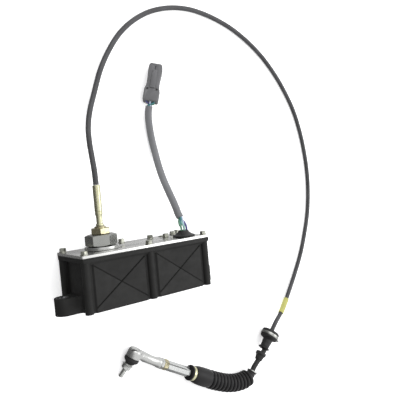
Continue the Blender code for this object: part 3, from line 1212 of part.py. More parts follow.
# Gear train
def gear_outline(teeth, turn):
    pitch = 360 / teeth
    radius = MODULE * teeth / 2
    root, tip = radius - 1.2 * MODULE, radius + 0.85 * MODULE
    points = []
    for i in range(teeth):
        for reach, share in ((root, -0.30), (tip, -0.13), (tip, 0.13), (root, 0.30)):
            angle = math.radians(turn + pitch * (i + share))
            points.append((reach * math.cos(angle), reach * math.sin(angle)))
    return points


def make_gear_plates():
    outline = rounded_rectangle(PLATE_LEFT, PLATE_RIGHT, PLATE_LOW, PLATE_HIGH, 0.005)
    screw_hole = PLATE_SCREW_RADIUS + FIT_GAP
    lower_top = LOWER_PLATE_Z + PLATE_THICK
    plain = extruded("lower_gear_plate", [outline], LOWER_PLATE_Z, lower_top)
    lower = as_mesh(plain)
    post = drum("post_pattern", SPACER_RADIUS, -PLATE_THICK / 2, SPACER_LENGTH, (0, 0, 0), OUT, 12)
    frames = [Matrix.Translation((x, y, lower_top)) for x, y in SPACER_PLACES]
    combine(lower, gathered("lower_plate_posts", post, frames), "UNION")
    bore = drum("bore_pattern", screw_hole, -PLATE_THICK - 0.001, SPACER_LENGTH + 0.001, (0, 0, 0), OUT, 12)
    combine(lower, gathered("lower_plate_bores", bore, frames))
    collar = drum("lower_plate_collar", BEARING_RADIUS, LOWER_PLATE_Z + 0.001, lower_top + COLLAR_HEIGHT,
                  (OUTPUT_X, SHAFT_Y, 0), OUT, 32, True)
    combine(lower, collar, "UNION")
    pin = drum("idler_pin", IDLER_PIN_RADIUS, LOWER_PLATE_Z + 0.0005, UPPER_PLATE_Z + PLATE_THICK,
               (IDLER_X, SHAFT_Y, 0), OUT, 24, True)
    combine(lower, pin, "UNION")
    bearing = drum("lower_plate_bearing", OUTPUT_SHAFT_RADIUS + RUN_GAP, LOWER_PLATE_Z - 0.001,
                   lower_top + COLLAR_HEIGHT + 0.001, (OUTPUT_X, SHAFT_Y, 0), OUT, 32, True)
    zinc_steel(combine(lower, bearing))
    holes = [circle(OUTPUT_X, SHAFT_Y, OUTPUT_SHAFT_RADIUS + RUN_GAP, ROUND_SIDES),
             circle(IDLER_X, SHAFT_Y, IDLER_PIN_RADIUS + FIT_GAP), circle(MOTOR_X, SHAFT_Y, MOTOR_BOSS_RADIUS + FIT_GAP, 24)]
    upper = as_mesh(extruded("upper_gear_plate", [outline] + holes, UPPER_PLATE_Z, UPPER_PLATE_Z + PLATE_THICK))
    reach = SPACER_LENGTH - 0.002
    head = PLATE_SCREW_RADIUS * 1.8
    profile = [(0, PLATE_THICK + 0.002), (head, PLATE_THICK + 0.002), (head, PLATE_THICK / 2),
               (PLATE_SCREW_RADIUS, PLATE_THICK / 2), (PLATE_SCREW_RADIUS, -reach), (0, -reach)]
    screw = turned("plate_screw_pattern", profile, (0, 0, 0), OUT, sides=12)
    frames = [Matrix.Translation((x, y, UPPER_PLATE_Z)) for x, y in SPACER_PLACES]
    zinc_steel(combine(upper, gathered("plate_screws", screw, frames), "UNION"))


def make_output():
    at = (OUTPUT_X, SHAFT_Y, 0)
    low = LOWER_PLATE_Z + FIT_GAP
    drum_top = DRUM_Z + DRUM_THICK
    sensor_top = SENSOR_Z + SENSOR_THICK - 0.002
    shaft = [(0, sensor_top), (SENSOR_SHAFT_RADIUS, sensor_top), (SENSOR_SHAFT_RADIUS, drum_top + FIT_GAP),
             (OUTPUT_SHAFT_RADIUS, drum_top + FIT_GAP), (OUTPUT_SHAFT_RADIUS, low), (0, low)]
    dark_steel(turned("output_shaft", shaft, at, OUT, sides=24))
    bore = OUTPUT_SHAFT_RADIUS + FIT_GAP
    gear = [gear_outline(OUTPUT_TEETH, 0), circle(0, 0, bore, ROUND_SIDES)]
    wheel = extruded("output_gear", gear, OUTPUT_GEAR_Z, OUTPUT_GEAR_Z + OUTPUT_GEAR_THICK, at=at[:2])
    bronze(wheel)
    groove = DRUM_WIRE_RADIUS - WIRE_RADIUS - FIT_GAP
    half = WIRE_RADIUS + FIT_GAP
    profile = [(DRUM_RADIUS, drum_top), (DRUM_RADIUS, CABLE_Z + half + 0.0018), (groove, CABLE_Z + half),
               (groove, CABLE_Z - half), (DRUM_RADIUS, CABLE_Z - half - 0.0018), (DRUM_RADIUS, DRUM_Z),
               (DRUM_HUB_RADIUS, DRUM_Z), (DRUM_HUB_RADIUS, ABOVE_PLATE_Z), (bore, ABOVE_PLATE_Z), (bore, drum_top)]
    spool = turned("cable_drum", profile, at, OUT, True, 32)
    angle = math.radians(NIPPLE_ANGLE)
    nipple_at = (OUTPUT_X + DRUM_WIRE_RADIUS * math.cos(angle), SHAFT_Y + DRUM_WIRE_RADIUS * math.sin(angle), CABLE_Z)
    pocket = drum("nipple_pocket", NIPPLE_RADIUS + FIT_GAP, -NIPPLE_LENGTH / 2 - FIT_GAP, DRUM_THICK, nipple_at, OUT,
                  SMALL_SIDES, True)
    combine(spool, pocket)
    finish(spool, (0.72, 0.72, 0.70), 0.50)
    half = NIPPLE_LENGTH / 2
    bronze(drum("cable_nipple", NIPPLE_RADIUS, -half, half, nipple_at, OUT, SMALL_SIDES))


def make_idler():
    at = (IDLER_X, SHAFT_Y)
    half_tooth = 180 / IDLER_PINION_TEETH
    low = LOWER_PLATE_Z + PLATE_THICK + FIT_GAP
    pinion = extruded("idler_gear", [gear_outline(IDLER_PINION_TEETH, half_tooth)], low, IDLER_GEAR_Z + 0.001, at=at)
    pinion = as_mesh(pinion)
    wheel = extruded("idler_wheel", [gear_outline(IDLER_TEETH, 0)], IDLER_GEAR_Z, IDLER_GEAR_Z + IDLER_THICK, at=at,
                     cutter=True)
    combine(pinion, as_mesh(wheel, True), "UNION")
    hub_top = UPPER_PLATE_Z - 2 * FIT_GAP
    hub = drum("idler_hub", 0.0045, IDLER_GEAR_Z + 0.002, hub_top, (*at, 0), OUT, 20, True)
    combine(pinion, hub, "UNION")
    combine(pinion, drum("idler_bore", IDLER_PIN_RADIUS + RUN_GAP, 0, UPPER_PLATE_Z, (*at, 0), OUT, 24, True))
    bronze(pinion)


def make_motor():
    at = (MOTOR_X, SHAFT_Y, 0)
    low = ABOVE_PLATE_Z
    top = low + MOTOR_LENGTH
    bore = MOTOR_SHAFT_RADIUS + RUN_GAP
    edge = 0.0012
    can = [(0, top + MOTOR_REAR_HEIGHT), (MOTOR_REAR_RADIUS, top + MOTOR_REAR_HEIGHT), (MOTOR_REAR_RADIUS, top),
           (MOTOR_RADIUS - edge, top), (MOTOR_RADIUS, top - edge), (MOTOR_RADIUS, low + edge), (MOTOR_RADIUS - edge, low),
           (MOTOR_BOSS_RADIUS, low), (MOTOR_BOSS_RADIUS, UPPER_PLATE_Z), (bore, UPPER_PLATE_Z), (bore, low + MOTOR_SKIN),
           (MOTOR_RADIUS - MOTOR_SKIN, low + MOTOR_SKIN), (MOTOR_RADIUS - MOTOR_SKIN, top - MOTOR_SKIN),
           (bore, top - MOTOR_SKIN), (bore, top), (0, top)]
    dark_steel(turned("motor_can", can, at, OUT, sides=24))
    pinion_z = IDLER_GEAR_Z + IDLER_THICK / 2 - PINION_THICK / 2
    half_tooth = 180 / MOTOR_TEETH
    outline = gear_outline(MOTOR_TEETH, half_tooth)
    rotor = as_mesh(extruded("motor_rotor", [outline], pinion_z, pinion_z + PINION_THICK, at=at[:2]))
    shaft = drum("rotor_shaft", MOTOR_SHAFT_RADIUS, pinion_z - 0.001, top - FIT_GAP, at, OUT, 24, True)
    combine(rotor, shaft, "UNION")
    armature_low = low + MOTOR_SKIN + ARMATURE_END_GAP
    armature_top = top - MOTOR_SKIN - ARMATURE_END_GAP
    armature = drum("armature", ARMATURE_RADIUS, armature_low, armature_top, at, OUT, 24, True)
    zinc_steel(combine(rotor, armature, "UNION"))


def make_sensor():
    xs = [x for x, y in POST_PLACES]
    ys = [y for x, y in POST_PLACES]
    outline = rounded_rectangle(min(xs) - PLATE_MARGIN, max(xs) + PLATE_MARGIN, min(ys) - PLATE_MARGIN,
                                max(ys) + PLATE_MARGIN, 0.004)
    hole = circle(OUTPUT_X, SHAFT_Y, SENSOR_SHAFT_RADIUS + 3 * RUN_GAP, 24)
    plate = as_mesh(extruded("sensor_bracket", [outline, hole], SENSOR_PLATE_Z, SENSOR_PLATE_Z + SENSOR_PLATE_THICK))
    post = drum("leg_pattern", POST_RADIUS, 0, POST_LENGTH + SENSOR_PLATE_THICK / 2, (0, 0, 0), OUT, 12)
    frames = [Matrix.Translation((x, y, ABOVE_PLATE_Z)) for x, y in POST_PLACES]
    zinc_steel(combine(plate, gathered("sensor_legs", post, frames), "UNION"))
    bore = SENSOR_SHAFT_RADIUS + RUN_GAP
    top = SENSOR_Z + SENSOR_THICK
    profile = [(0, top), (SENSOR_RADIUS - 0.001, top), (SENSOR_RADIUS, top - 0.001), (SENSOR_RADIUS, SENSOR_Z),
               (bore, SENSOR_Z), (bore, top - 0.0015), (0, top - 0.0015)]
    finish(turned("position_sensor", profile, (OUTPUT_X, SHAFT_Y, 0), OUT, sides=24), (0.03, 0.08, 0.05), 0.45)


def make_mechanism_bracket():
    top = COVER_INNER_Y - FIT_GAP
    low = top - BRACKET_FLANGE_THICK
    outline = rounded_rectangle(BRACKET_LEFT, BRACKET_RIGHT, BRACKET_BACK, BRACKET_FRONT, 0.003)
    holes = [circle(x, z, SCREW_HOLE) for x, z in MECHANISM_SCREW_PLACES]
    holes.append(circle(*VENT_PLACE, VENT_RADIUS * 0.8))
    flange = as_mesh(extruded("mechanism_bracket", [outline] + holes, low, top, True))
    web_outline = rounded_rectangle(WEB_LEFT, PLATE_RIGHT, WEB_LOW, low + 0.001, 0.002)
    web_top = ABOVE_PLATE_Z + BRACKET_WEB_THICK
    web = extruded("bracket_web", [web_outline], ABOVE_PLATE_Z, web_top, cutter=True, filled=False)
    zinc_steel(combine(flange, as_mesh(web, True), "UNION"))


def make_all():
    make_housing()
    make_cover()
    make_cover_screws()
    make_gland()
    make_cables()
    start, axis, bore, seal_end = make_bulkhead()
    make_boot(start, axis, seal_end)
    make_rod()
    make_stud()
    make_harness()
    make_plug()
    make_gear_plates()
    make_output()
    make_idler()
    make_motor()
    make_sensor()
    make_mechanism_bracket()


make_all()
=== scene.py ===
"""Looks of the throttle motor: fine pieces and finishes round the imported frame, camera and lights."""
import json
import math

import bmesh
import bpy
from mathutils import Matrix, Vector


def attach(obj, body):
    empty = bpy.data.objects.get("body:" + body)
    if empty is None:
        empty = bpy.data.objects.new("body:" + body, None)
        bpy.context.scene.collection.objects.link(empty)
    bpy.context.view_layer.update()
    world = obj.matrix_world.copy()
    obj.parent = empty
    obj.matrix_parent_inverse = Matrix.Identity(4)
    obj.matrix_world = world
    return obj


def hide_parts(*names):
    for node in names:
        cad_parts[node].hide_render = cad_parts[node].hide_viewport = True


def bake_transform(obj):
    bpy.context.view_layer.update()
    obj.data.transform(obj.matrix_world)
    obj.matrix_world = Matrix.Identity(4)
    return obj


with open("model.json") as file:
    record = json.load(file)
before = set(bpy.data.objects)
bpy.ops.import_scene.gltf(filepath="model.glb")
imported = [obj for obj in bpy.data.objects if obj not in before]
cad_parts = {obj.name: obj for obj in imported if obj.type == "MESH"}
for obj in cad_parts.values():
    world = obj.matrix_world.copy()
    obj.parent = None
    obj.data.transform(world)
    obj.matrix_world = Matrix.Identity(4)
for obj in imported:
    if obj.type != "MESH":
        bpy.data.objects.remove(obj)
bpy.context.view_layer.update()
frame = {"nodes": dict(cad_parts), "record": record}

UP = Vector((0, 1, 0))
OUT = Vector((0, 0, 1))

# Camera, as fitted to the corners of the box in the photo
LENS, SENSOR_WIDTH = 44.1, 36.0
CAMERA_AT = (-0.32392, 0.10772, 0.58515)
CAMERA_RIGHT = Vector((0.778903, -0.086651, 0.621129))
CAMERA_UP = Vector((0.092702, 0.995437, 0.022619))
CAMERA_AHEAD = Vector((0.620255, -0.039962, -0.783382))

# Sizes and places are in metres, as the solids have them. GAP lies between pieces that don't touch
GAP = 0.0003

# Control cable and its tag
CONDUIT_RADIUS = 0.0035
CONDUIT_ROUTE = [
    (-0.0490, 0.1133, 0.0360), (-0.0490, 0.1300, 0.0352), (-0.0480, 0.1480, 0.0302),
    (-0.0452, 0.1670, 0.0215), (-0.0402, 0.1870, 0.0122), (-0.0330, 0.2080, 0.0060),
    (-0.0222, 0.2350, 0.0037), (-0.0105, 0.2644, 0.0036), (0.0055, 0.2921, 0.0036),
    (0.0245, 0.3164, 0.0036), (0.0489, 0.3369, 0.0036), (0.0779, 0.3526, 0.0036),
    (0.1115, 0.3623, 0.0036), (0.1454, 0.3653, 0.0036), (0.1780, 0.3619, 0.0036),
    (0.2103, 0.3541, 0.0036), (0.2397, 0.3430, 0.0036), (0.2713, 0.3257, 0.0036),
    (0.2992, 0.3052, 0.0036), (0.3257, 0.2787, 0.0036), (0.3480, 0.2497, 0.0036),
    (0.3665, 0.2182, 0.0036), (0.3790, 0.1844, 0.0036), (0.3874, 0.1477, 0.0036),
    (0.3916, 0.1092, 0.0036), (0.3907, 0.0738, 0.0036), (0.3843, 0.0340, 0.0036),
    (0.3719, -0.0033, 0.0036), (0.3559, -0.0395, 0.0036), (0.3345, -0.0743, 0.0039),
    (0.3085, -0.1080, 0.0060), (0.2865, -0.1282, 0.0104),
]
FITTING = Vector((0.2553, -0.1513, 0.0154))
FITTING_AXIS = Vector((-0.684, -0.729, -0.008)).normalized()
TAG_TAIL, TAG_LENGTH, TAG_RADIUS, TAG_STEPS = 0.037, 0.030, 0.0044, 24

# Pieces at the cable's far end
CAP_LENGTH, BRACKET_THICK, FLANGE_LENGTH = 0.0065, 0.0045, 0.0050
BARREL_LENGTH, SNAP_LENGTH, SEAL_STEP = 0.0135, 0.0032, 0.0068
SEAL_END = 0.0536

# Harness and plug
SLEEVE_RADIUS = 0.0050
HARNESS_ROUTE = [
    (0.0655, 0.0600, 0.0465), (0.0643, 0.0660, 0.0440), (0.0634, 0.0731, 0.0420),
    (0.0620, 0.0858, 0.0366), (0.0611, 0.0990, 0.0296), (0.0605, 0.1125, 0.0225),
    (0.0603, 0.1270, 0.0160), (0.0604, 0.1415, 0.0107), (0.0600, 0.1560, 0.0070),
    (0.0584, 0.1700, 0.0056), (0.0564, 0.1840, 0.0060), (0.0546, 0.1980, 0.0076),
    (0.0542, 0.2080, 0.0094), (0.0550, 0.2165, 0.0114),
]
PLUG = Vector((0.0566, 0.2215, 0.0124))
PLUG_AXIS = Vector((0.292, 0.956, 0.0)).normalized()
PLUG_TILT = math.radians(35)
PLUG_SIDE = PLUG_AXIS.cross(OUT).normalized() * math.cos(PLUG_TILT) + OUT * math.sin(PLUG_TILT)
PLUG_DOWN = PLUG_AXIS.cross(PLUG_SIDE)
LEAD_COLOURS = {
    "lead_green": (0.10, 0.24, 0.15), "lead_teal": (0.07, 0.22, 0.24), "lead_mint": (0.24, 0.44, 0.40),
    "lead_pale": (0.52, 0.60, 0.74), "lead_navy": (0.085, 0.085, 0.22),
}
PORT_STEP, PORT_ROW = 0.0052, 0.0060
LEAD_PORTS = [(1, 0.5), (1, -0.5), (0, 0.5), (0, -0.5), (-1, -0.5)]

# Rod end
BALL = Vector((-0.0052, -0.1166, 0.0120))
ROD = (Vector((0.0883, -0.1724, 0.0140)) - BALL).normalized()
STUD_TIP = Vector((-0.0244, -0.1429, 0.0036))
STUD = (STUD_TIP - BALL).normalized()
MOUTH = (STUD - ROD * STUD.dot(ROD)).normalized()
SHANK_END, THIN_NUT_HEIGHT, LOCK_NUT_HEIGHT, ROD_NUT_FLATS = 0.0450, 0.0042, 0.0070, 0.013
HEX_LENGTH, HEX_FLATS, SPIGOT_LENGTH = 0.0420, 0.0122, 0.012
SLEEVE_END = 0.0991
LINK_RADIUS, STUD_RADIUS, THREAD_PITCH = 0.0030, 0.0033, 0.0010
ROD_BORE, STUD_BORE = 0.0033, 0.0034
BALL_RADIUS, BALL_NECK = 0.006, 0.0024
CUP_TOP, DUST_CAP_LENGTH, STUD_NUT_FLATS = 0.0042, 0.0086, 0.011

# Boot, stem and the cable between them
BOOT_LENGTH, BOOT_RADIUS, BOOT_ROOT, BOOT_FOLDS = 0.1385, 0.0137, 0.0105, 12
BOOT_LIP, BAND_WIDTH, BOOT_COLLAR, BOOT_SKIN = 0.0035, 0.0050, 0.0405, 0.0016
STEM_RADIUS, CORE_RADIUS, CLIP_WIDTH = 0.0040, 0.0016, 0.0022
BOOT_ROUTE = [
    (0.1085, -0.1844, 0.0141), (0.1235, -0.1932, 0.0141), (0.1360, -0.1996, 0.0141),
    (0.1504, -0.2061, 0.0141), (0.1660, -0.2108, 0.0141), (0.1820, -0.2127, 0.0141),
    (0.1940, -0.2110, 0.0142), (0.2025, -0.2064, 0.0143), (0.2080, -0.2000, 0.0144),
    (0.2121, -0.1963, 0.0147),
]

# Box, its screws and its two outlets
COVER_SEAT = 0.0343
GLAND_X, CABLE_Z = -0.049, 0.036
WASHER_HEIGHT, GLAND_NUT_HEIGHT, LOCKNUT_HEIGHT, HUB_TOP = 0.004, 0.014, 0.0075, 0.1130
COVER_SCREWS = [(-0.087, 0.066), (0.0, 0.066), (0.087, 0.066), (-0.087, 0.006), (-0.005, 0.006),
                (0.087, 0.006)]
MECHANISM_SCREWS = [(0.034, 0.016), (0.052, 0.028), (0.074, 0.013)]
VENT = (0.055, 0.014)
DOME = (0.068, 0.048)
GLAND_NUT_FLATS, LOCKNUT_FLATS, SCREW_FLATS = 0.034, 0.022, 0.0072

# How bright the sky is, from its dark side to its bright side
BRIGHT_SIDE = (0.75, 0.15, 0.645)
SKY = ((0.0, 0.16), (0.15, 0.20), (0.34, 0.34), (0.47, 0.72), (0.58, 1.08), (0.70, 1.12), (0.85, 1.20),
       (1.00, 1.30))


# Camera, light and floor
def make_camera():
    data = bpy.data.cameras.new("camera")
    data.lens = LENS
    data.sensor_width = SENSOR_WIDTH
    data.clip_end = 20.0
    camera = bpy.data.objects.new("camera", data)
    bpy.context.scene.collection.objects.link(camera)
    turn = Matrix((CAMERA_RIGHT, CAMERA_UP, -CAMERA_AHEAD)).transposed().to_4x4()
    camera.matrix_world = Matrix.Translation(CAMERA_AT) @ turn
    bpy.context.scene.camera = camera


def area_light(name, at, towards, size, power):
    data = bpy.data.lights.new(name, "AREA")
    data.shape = "RECTANGLE"
    data.size, data.size_y = size
    data.energy = power
    light = bpy.data.objects.new(name, data)
    bpy.context.scene.collection.objects.link(light)
    light.location = at
    light.rotation_euler = (Vector(towards) - Vector(at)).to_track_quat("-Z", "Y").to_euler()


def make_light():
    """A sky that is dark on one side and bright on the other, and two large lamps."""
    world = bpy.data.worlds.new("studio")
    world.use_nodes = True
    bpy.context.scene.world = world
    nodes, links = world.node_tree.nodes, world.node_tree.links
    backdrop = nodes["Background"]
    place = nodes.new("ShaderNodeTexCoord")
    towards = nodes.new("ShaderNodeVectorMath")
    towards.operation = "DOT_PRODUCT"
    towards.inputs[1].default_value = BRIGHT_SIDE
    lift = nodes.new("ShaderNodeMath")
    lift.operation = "MULTIPLY_ADD"
    lift.inputs[1].default_value = 0.5
    lift.inputs[2].default_value = 0.5
    ramp = nodes.new("ShaderNodeValToRGB")
    while len(ramp.color_ramp.elements) < len(SKY):
        ramp.color_ramp.elements.new(0.5)
    for element, (position, level) in zip(ramp.color_ramp.elements, SKY):
        element.position = position
        element.color = (level, level, level * 1.01, 1)
    links.new(place.outputs["Generated"], towards.inputs[0])
    links.new(towards.outputs["Value"], lift.inputs[0])
    links.new(lift.outputs[0], ramp.inputs["Fac"])
    links.new(ramp.outputs["Color"], backdrop.inputs["Color"])
    backdrop.inputs["Strength"].default_value = 1.0
    area_light("key", (1.28, -0.05, 1.50), (0.08, 0.02, 0.0), (1.1, 1.1), 8.0)
    area_light("fill", (0.10, 1.30, 1.30), (0.10, 0.05, 0.0), (1.4, 1.2), 8.0)
    bpy.context.scene.view_settings.view_transform = "Standard"


def make_floor():
    """A white floor that glows a little. Metal doesn't reflect it, and so keeps its dark edges."""
    bpy.ops.mesh.primitive_plane_add(size=8, location=(0.1, 0.1, 0))
    floor = bpy.context.object
    floor.name = "floor"
    floor.visible_glossy = False
    paint = Paint("floor_white", (0.97, 0.97, 0.97), 0.85)
    paint.shader.inputs["Emission Color"].default_value = (1, 1, 1, 1)
    paint.shader.inputs["Emission Strength"].default_value = 0.40
    floor.data.materials.append(paint.material)


# Finishes
class Paint:
    """A procedural material: its textures read the object's own coordinates, in metres."""

    def __init__(self, name, colour, roughness, metallic=0.0, specular=0.5):
        self.material = bpy.data.materials.new(name)
        self.material.use_nodes = True
        self.nodes = self.material.node_tree.nodes
        self.links = self.material.node_tree.links
        self.shader = self.nodes["Principled BSDF"]
        self.shader.inputs["Base Color"].default_value = (*colour, 1)
        self.shader.inputs["Roughness"].default_value = roughness
        self.shader.inputs["Metallic"].default_value = metallic
        self.shader.inputs["Specular IOR Level"].default_value = specular
        self.place = self.nodes.new("ShaderNodeTexCoord").outputs["Object"]

    def noise(self, scale, detail=3.0, stretch=None, distortion=0.0):
        node = self.nodes.new("ShaderNodeTexNoise")
        node.inputs["Scale"].default_value = scale
        node.inputs["Detail"].default_value = detail
        node.inputs["Distortion"].default_value = distortion
        source = self.place
        if stretch:
            mapping = self.nodes.new("ShaderNodeMapping")
            mapping.inputs["Scale"].default_value = stretch
            self.links.new(source, mapping.inputs["Vector"])
            source = mapping.outputs["Vector"]
        self.links.new(source, node.inputs["Vector"])
        return node.outputs["Fac"]

    def level(self, source, low, high, start=0.3, end=0.7):
        node = self.nodes.new("ShaderNodeMapRange")
        node.inputs["From Min"].default_value = start
        node.inputs["From Max"].default_value = end
        node.inputs["To Min"].default_value = low
        node.inputs["To Max"].default_value = high
        self.links.new(source, node.inputs["Value"])
        return node.outputs["Result"]

    def colours(self, source, stops):
        node = self.nodes.new("ShaderNodeValToRGB")
        ramp = node.color_ramp
        while len(ramp.elements) < len(stops):
            ramp.elements.new(0.5)
        for element, (position, colour) in zip(ramp.elements, stops):
            element.position = position
            element.color = (*colour, 1)
        self.links.new(source, node.inputs["Fac"])
        return node.outputs["Color"]

    def tint(self, colour):
        self.links.new(colour, self.shader.inputs["Base Color"])
        return self

    def polish(self, value):
        self.links.new(value, self.shader.inputs["Roughness"])
        return self

    def bump(self, height, distance, strength):
        node = self.nodes.new("ShaderNodeBump")
        node.inputs["Distance"].default_value = distance
        node.inputs["Strength"].default_value = strength
        self.links.new(height, node.inputs["Height"])
        self.links.new(node.outputs["Normal"], self.shader.inputs["Normal"])
        return self


def moulded(name, colour, roughness, grain=900.0, depth=0.00006, spread=0.18, specular=0.35):
    """Moulded plastic or rubber: a fine grain, and slow drifts of colour and gloss."""
    paint = Paint(name, colour, roughness, 0.0, specular)
    low = tuple(c * (1 - spread) for c in colour)
    high = tuple(min(1.0, c * (1 + spread)) for c in colour)
    paint.tint(paint.colours(paint.noise(45, 5.0), [(0.3, low), (0.7, high)]))
    paint.polish(paint.level(paint.noise(120, 4.0), roughness - 0.07, roughness + 0.07))
    paint.bump(paint.noise(grain, 2.0), depth, 0.6)
    return paint


def metal(name, colour, roughness, stretch=None, drift=0.05, depth=0.000004, scale=700.0):
    """Bare or plated metal: faint tool marks, mottled gloss and a slight drift of colour."""
    paint = Paint(name, colour, roughness, 1.0)
    low = tuple(c * (1 - drift) for c in colour)
    paint.tint(paint.colours(paint.noise(90, 4.0), [(0.35, low), (0.65, colour)]))
    marks = paint.noise(scale, 3.0, stretch)
    paint.polish(paint.level(marks, roughness - 0.06, roughness + 0.08))
    paint.bump(marks, depth, 0.5)
    return paint


def make_finishes():
    looks = {}
    looks["black_plastic"] = moulded("housing_black", (0.0105, 0.0105, 0.0098), 0.60, 700.0,
                                     0.00006, 0.14, 0.26)
    looks["black_rubber"] = moulded("rubber_black", (0.016, 0.016, 0.016), 0.50, 500.0, 0.00004, 0.25)
    looks["boot_rubber"] = moulded("boot_rubber", (0.008, 0.0075, 0.008), 0.46, 420.0, 0.00004, 0.25, 0.28)
    looks["cover_aluminium"] = metal("cover_aluminium", (0.72, 0.72, 0.70), 0.22, (14.0, 900.0, 900.0),
                                     0.05, 0.000006, 1.0)
    looks["rod_aluminium"] = metal("rod_aluminium", (0.55, 0.56, 0.55), 0.26, (500.0, 500.0, 60.0),
                                   0.04, 0.0000008, 1.0)
    looks["zinc_steel"] = metal("zinc_steel", (0.35, 0.355, 0.335), 0.26)
    looks["bright_zinc"] = metal("bright_zinc", (0.52, 0.525, 0.51), 0.24, None, 0.05, 0.0000015)
    looks["dark_steel"] = metal("dark_steel", (0.22, 0.22, 0.23), 0.40)
    looks["bronze"] = metal("bronze", (0.55, 0.36, 0.18), 0.36)
    for name, base, low, high in (
        ("yellow_zinc", (0.44, 0.40, 0.26), (0.36, 0.32, 0.20), (0.50, 0.48, 0.34)),
        ("hub_yellow", (0.55, 0.54, 0.36), (0.49, 0.48, 0.31), (0.61, 0.60, 0.42)),
        ("screw_zinc", (0.42, 0.425, 0.37), (0.32, 0.32, 0.27), (0.50, 0.505, 0.46)),
    ):
        paint = metal(name, base, 0.25, None, 0.03, 0.0000006)
        film = paint.noise(160, 5.0, None, 1.5)
        paint.tint(paint.colours(film, [(0.30, low), (0.50, base), (0.72, high)]))
        looks[name] = paint
    looks["grey_plastic"] = moulded("connector_grey", (0.135, 0.135, 0.140), 0.50, 800.0, 0.00005)
    looks["white_plastic"] = moulded("plain_white", (0.80, 0.80, 0.77), 0.45, 800.0, 0.00003, 0.05)
    looks["conduit_plastic"] = moulded("conduit_dark", (0.052, 0.052, 0.055), 0.44, 260.0, 0.00005, 0.20)
    looks["sleeve_plastic"] = moulded("sleeve_grey", (0.165, 0.168, 0.175), 0.46, 240.0, 0.00010, 0.10)
    looks["tag_yellow"] = moulded("tag_yellow", (0.46, 0.45, 0.13), 0.42, 400.0, 0.00003, 0.08)
    looks["sensor_plastic"] = moulded("sensor_dark", (0.03, 0.05, 0.08), 0.50)
    for name, colour in LEAD_COLOURS.items():
        looks[name] = moulded(name, colour, 0.38, 500.0, 0.00003, 0.10)
    return looks


# Shapes
def circle(sides):
    return [(math.cos(math.tau * k / sides), math.sin(math.tau * k / sides)) for k in range(sides)]


def along(points, lengths, distance):
    """The point at a distance along a chain of points."""
    for i in range(1, len(points)):
        if lengths[i] >= distance - 1e-9:
            span = max(lengths[i] - lengths[i - 1], 1e-9)
            return points[i - 1].lerp(points[i], (distance - lengths[i - 1]) / span)
    return points[-1].copy()


class Line:
    """A smooth curve through a route's own points, read by the distance along it."""

    def __init__(self, route):
        knots = [Vector(point) for point in route]
        knots = [knots[0] * 2 - knots[1]] + knots + [knots[-1] * 2 - knots[-2]]
        self.points = []
        for i in range(1, len(knots) - 2):
            a, b, c, d = knots[i - 1:i + 3]
            for k in range(24):
                t = k / 24
                self.points.append(0.5 * (2 * b + (c - a) * t + (2 * a - 5 * b + 4 * c - d) * t ** 2
                                          + (3 * b - a - 3 * c + d) * t ** 3))
        self.points.append(knots[-2])
        self.lengths = [0.0]
        for a, b in zip(self.points, self.points[1:]):
            self.lengths.append(self.lengths[-1] + (b - a).length)
        self.length = self.lengths[-1]

    def at(self, distance):
        if distance < 0:
            return self.points[0] + (self.points[0] - self.points[1]).normalized() * -distance
        if distance > self.length:
            ahead = (self.points[-1] - self.points[-2]).normalized()
            return self.points[-1] + ahead * (distance - self.length)
        return along(self.points, self.lengths, distance)

    def heading(self, distance):
        step = 0.0004
        return (self.at(distance + step) - self.at(distance - step)).normalized()

    def even(self, step):
        count = max(2, round(self.length / step))
        return [self.at(self.length * i / count) for i in range(count + 1)]


def across(axis, side=None):
    """Two directions across an axis, the first as near to the side as it can be."""
    axis = axis.normalized()
    x = Vector(side) if side else (OUT if abs(axis.z) < 0.9 else Vector((1, 0, 0)))
    x = (x - axis * x.dot(axis)).normalized()
    return x, axis.cross(x)


def soften(profile, radius, closed=True, steps=3):
    """The profile with its corners rounded."""
    count, result = len(profile), []
    for i, point in enumerate(profile):
        here = Vector(point)
        if not closed and i in (0, count - 1):
            result.append(tuple(here))
            continue
        a, b = Vector(profile[i - 1]) - here, Vector(profile[(i + 1) % count]) - here
        if a.length < 1e-7 or b.length < 1e-7 or a.angle(b) > math.radians(165) or here.x < 1e-7:
            result.append(tuple(here))
            continue
        reach = min(radius / math.tan(a.angle(b) / 2), a.length * 0.45, b.length * 0.45)
        start, end = here + a.normalized() * reach, here + b.normalized() * reach
        for k in range(steps + 1):
            t = k / steps
            result.append(tuple(start * (1 - t) ** 2 + here * 2 * t * (1 - t) + end * t ** 2))
    return result


def meshed(name, rings, closed, sharp=32):
    """Skin over rings of points; closed joins the last ring to the first."""
    vertices = [point for ring in rings for point in ring]
    sides, count = len(rings[0]), len(rings)
    faces = []
    for i in range(count if closed else count - 1):
        j = (i + 1) % count
        for k in range(sides):
            m = (k + 1) % sides
            faces.append((i * sides + k, i * sides + m, j * sides + m, j * sides + k))
    if not closed:
        faces.append(tuple(range(sides)))
        faces.append(tuple((count - 1) * sides + k for k in range(sides)))
    data = bpy.data.meshes.new(name)
    data.from_pydata([tuple(v) for v in vertices], [], faces)
    work = bmesh.new()
    work.from_mesh(data)
    bmesh.ops.remove_doubles(work, verts=work.verts, dist=2e-6)
    bmesh.ops.dissolve_degenerate(work, edges=work.edges, dist=1e-6)
    bmesh.ops.recalc_face_normals(work, faces=work.faces)
    work.to_mesh(data)
    work.free()
    return placed(name, data, sharp)


def placed(name, data, sharp):
    data.shade_smooth()
    data.set_sharp_from_angle(angle=math.radians(sharp))
    obj = bpy.data.objects.new(name, data)
    bpy.context.scene.collection.objects.link(obj)
    return obj


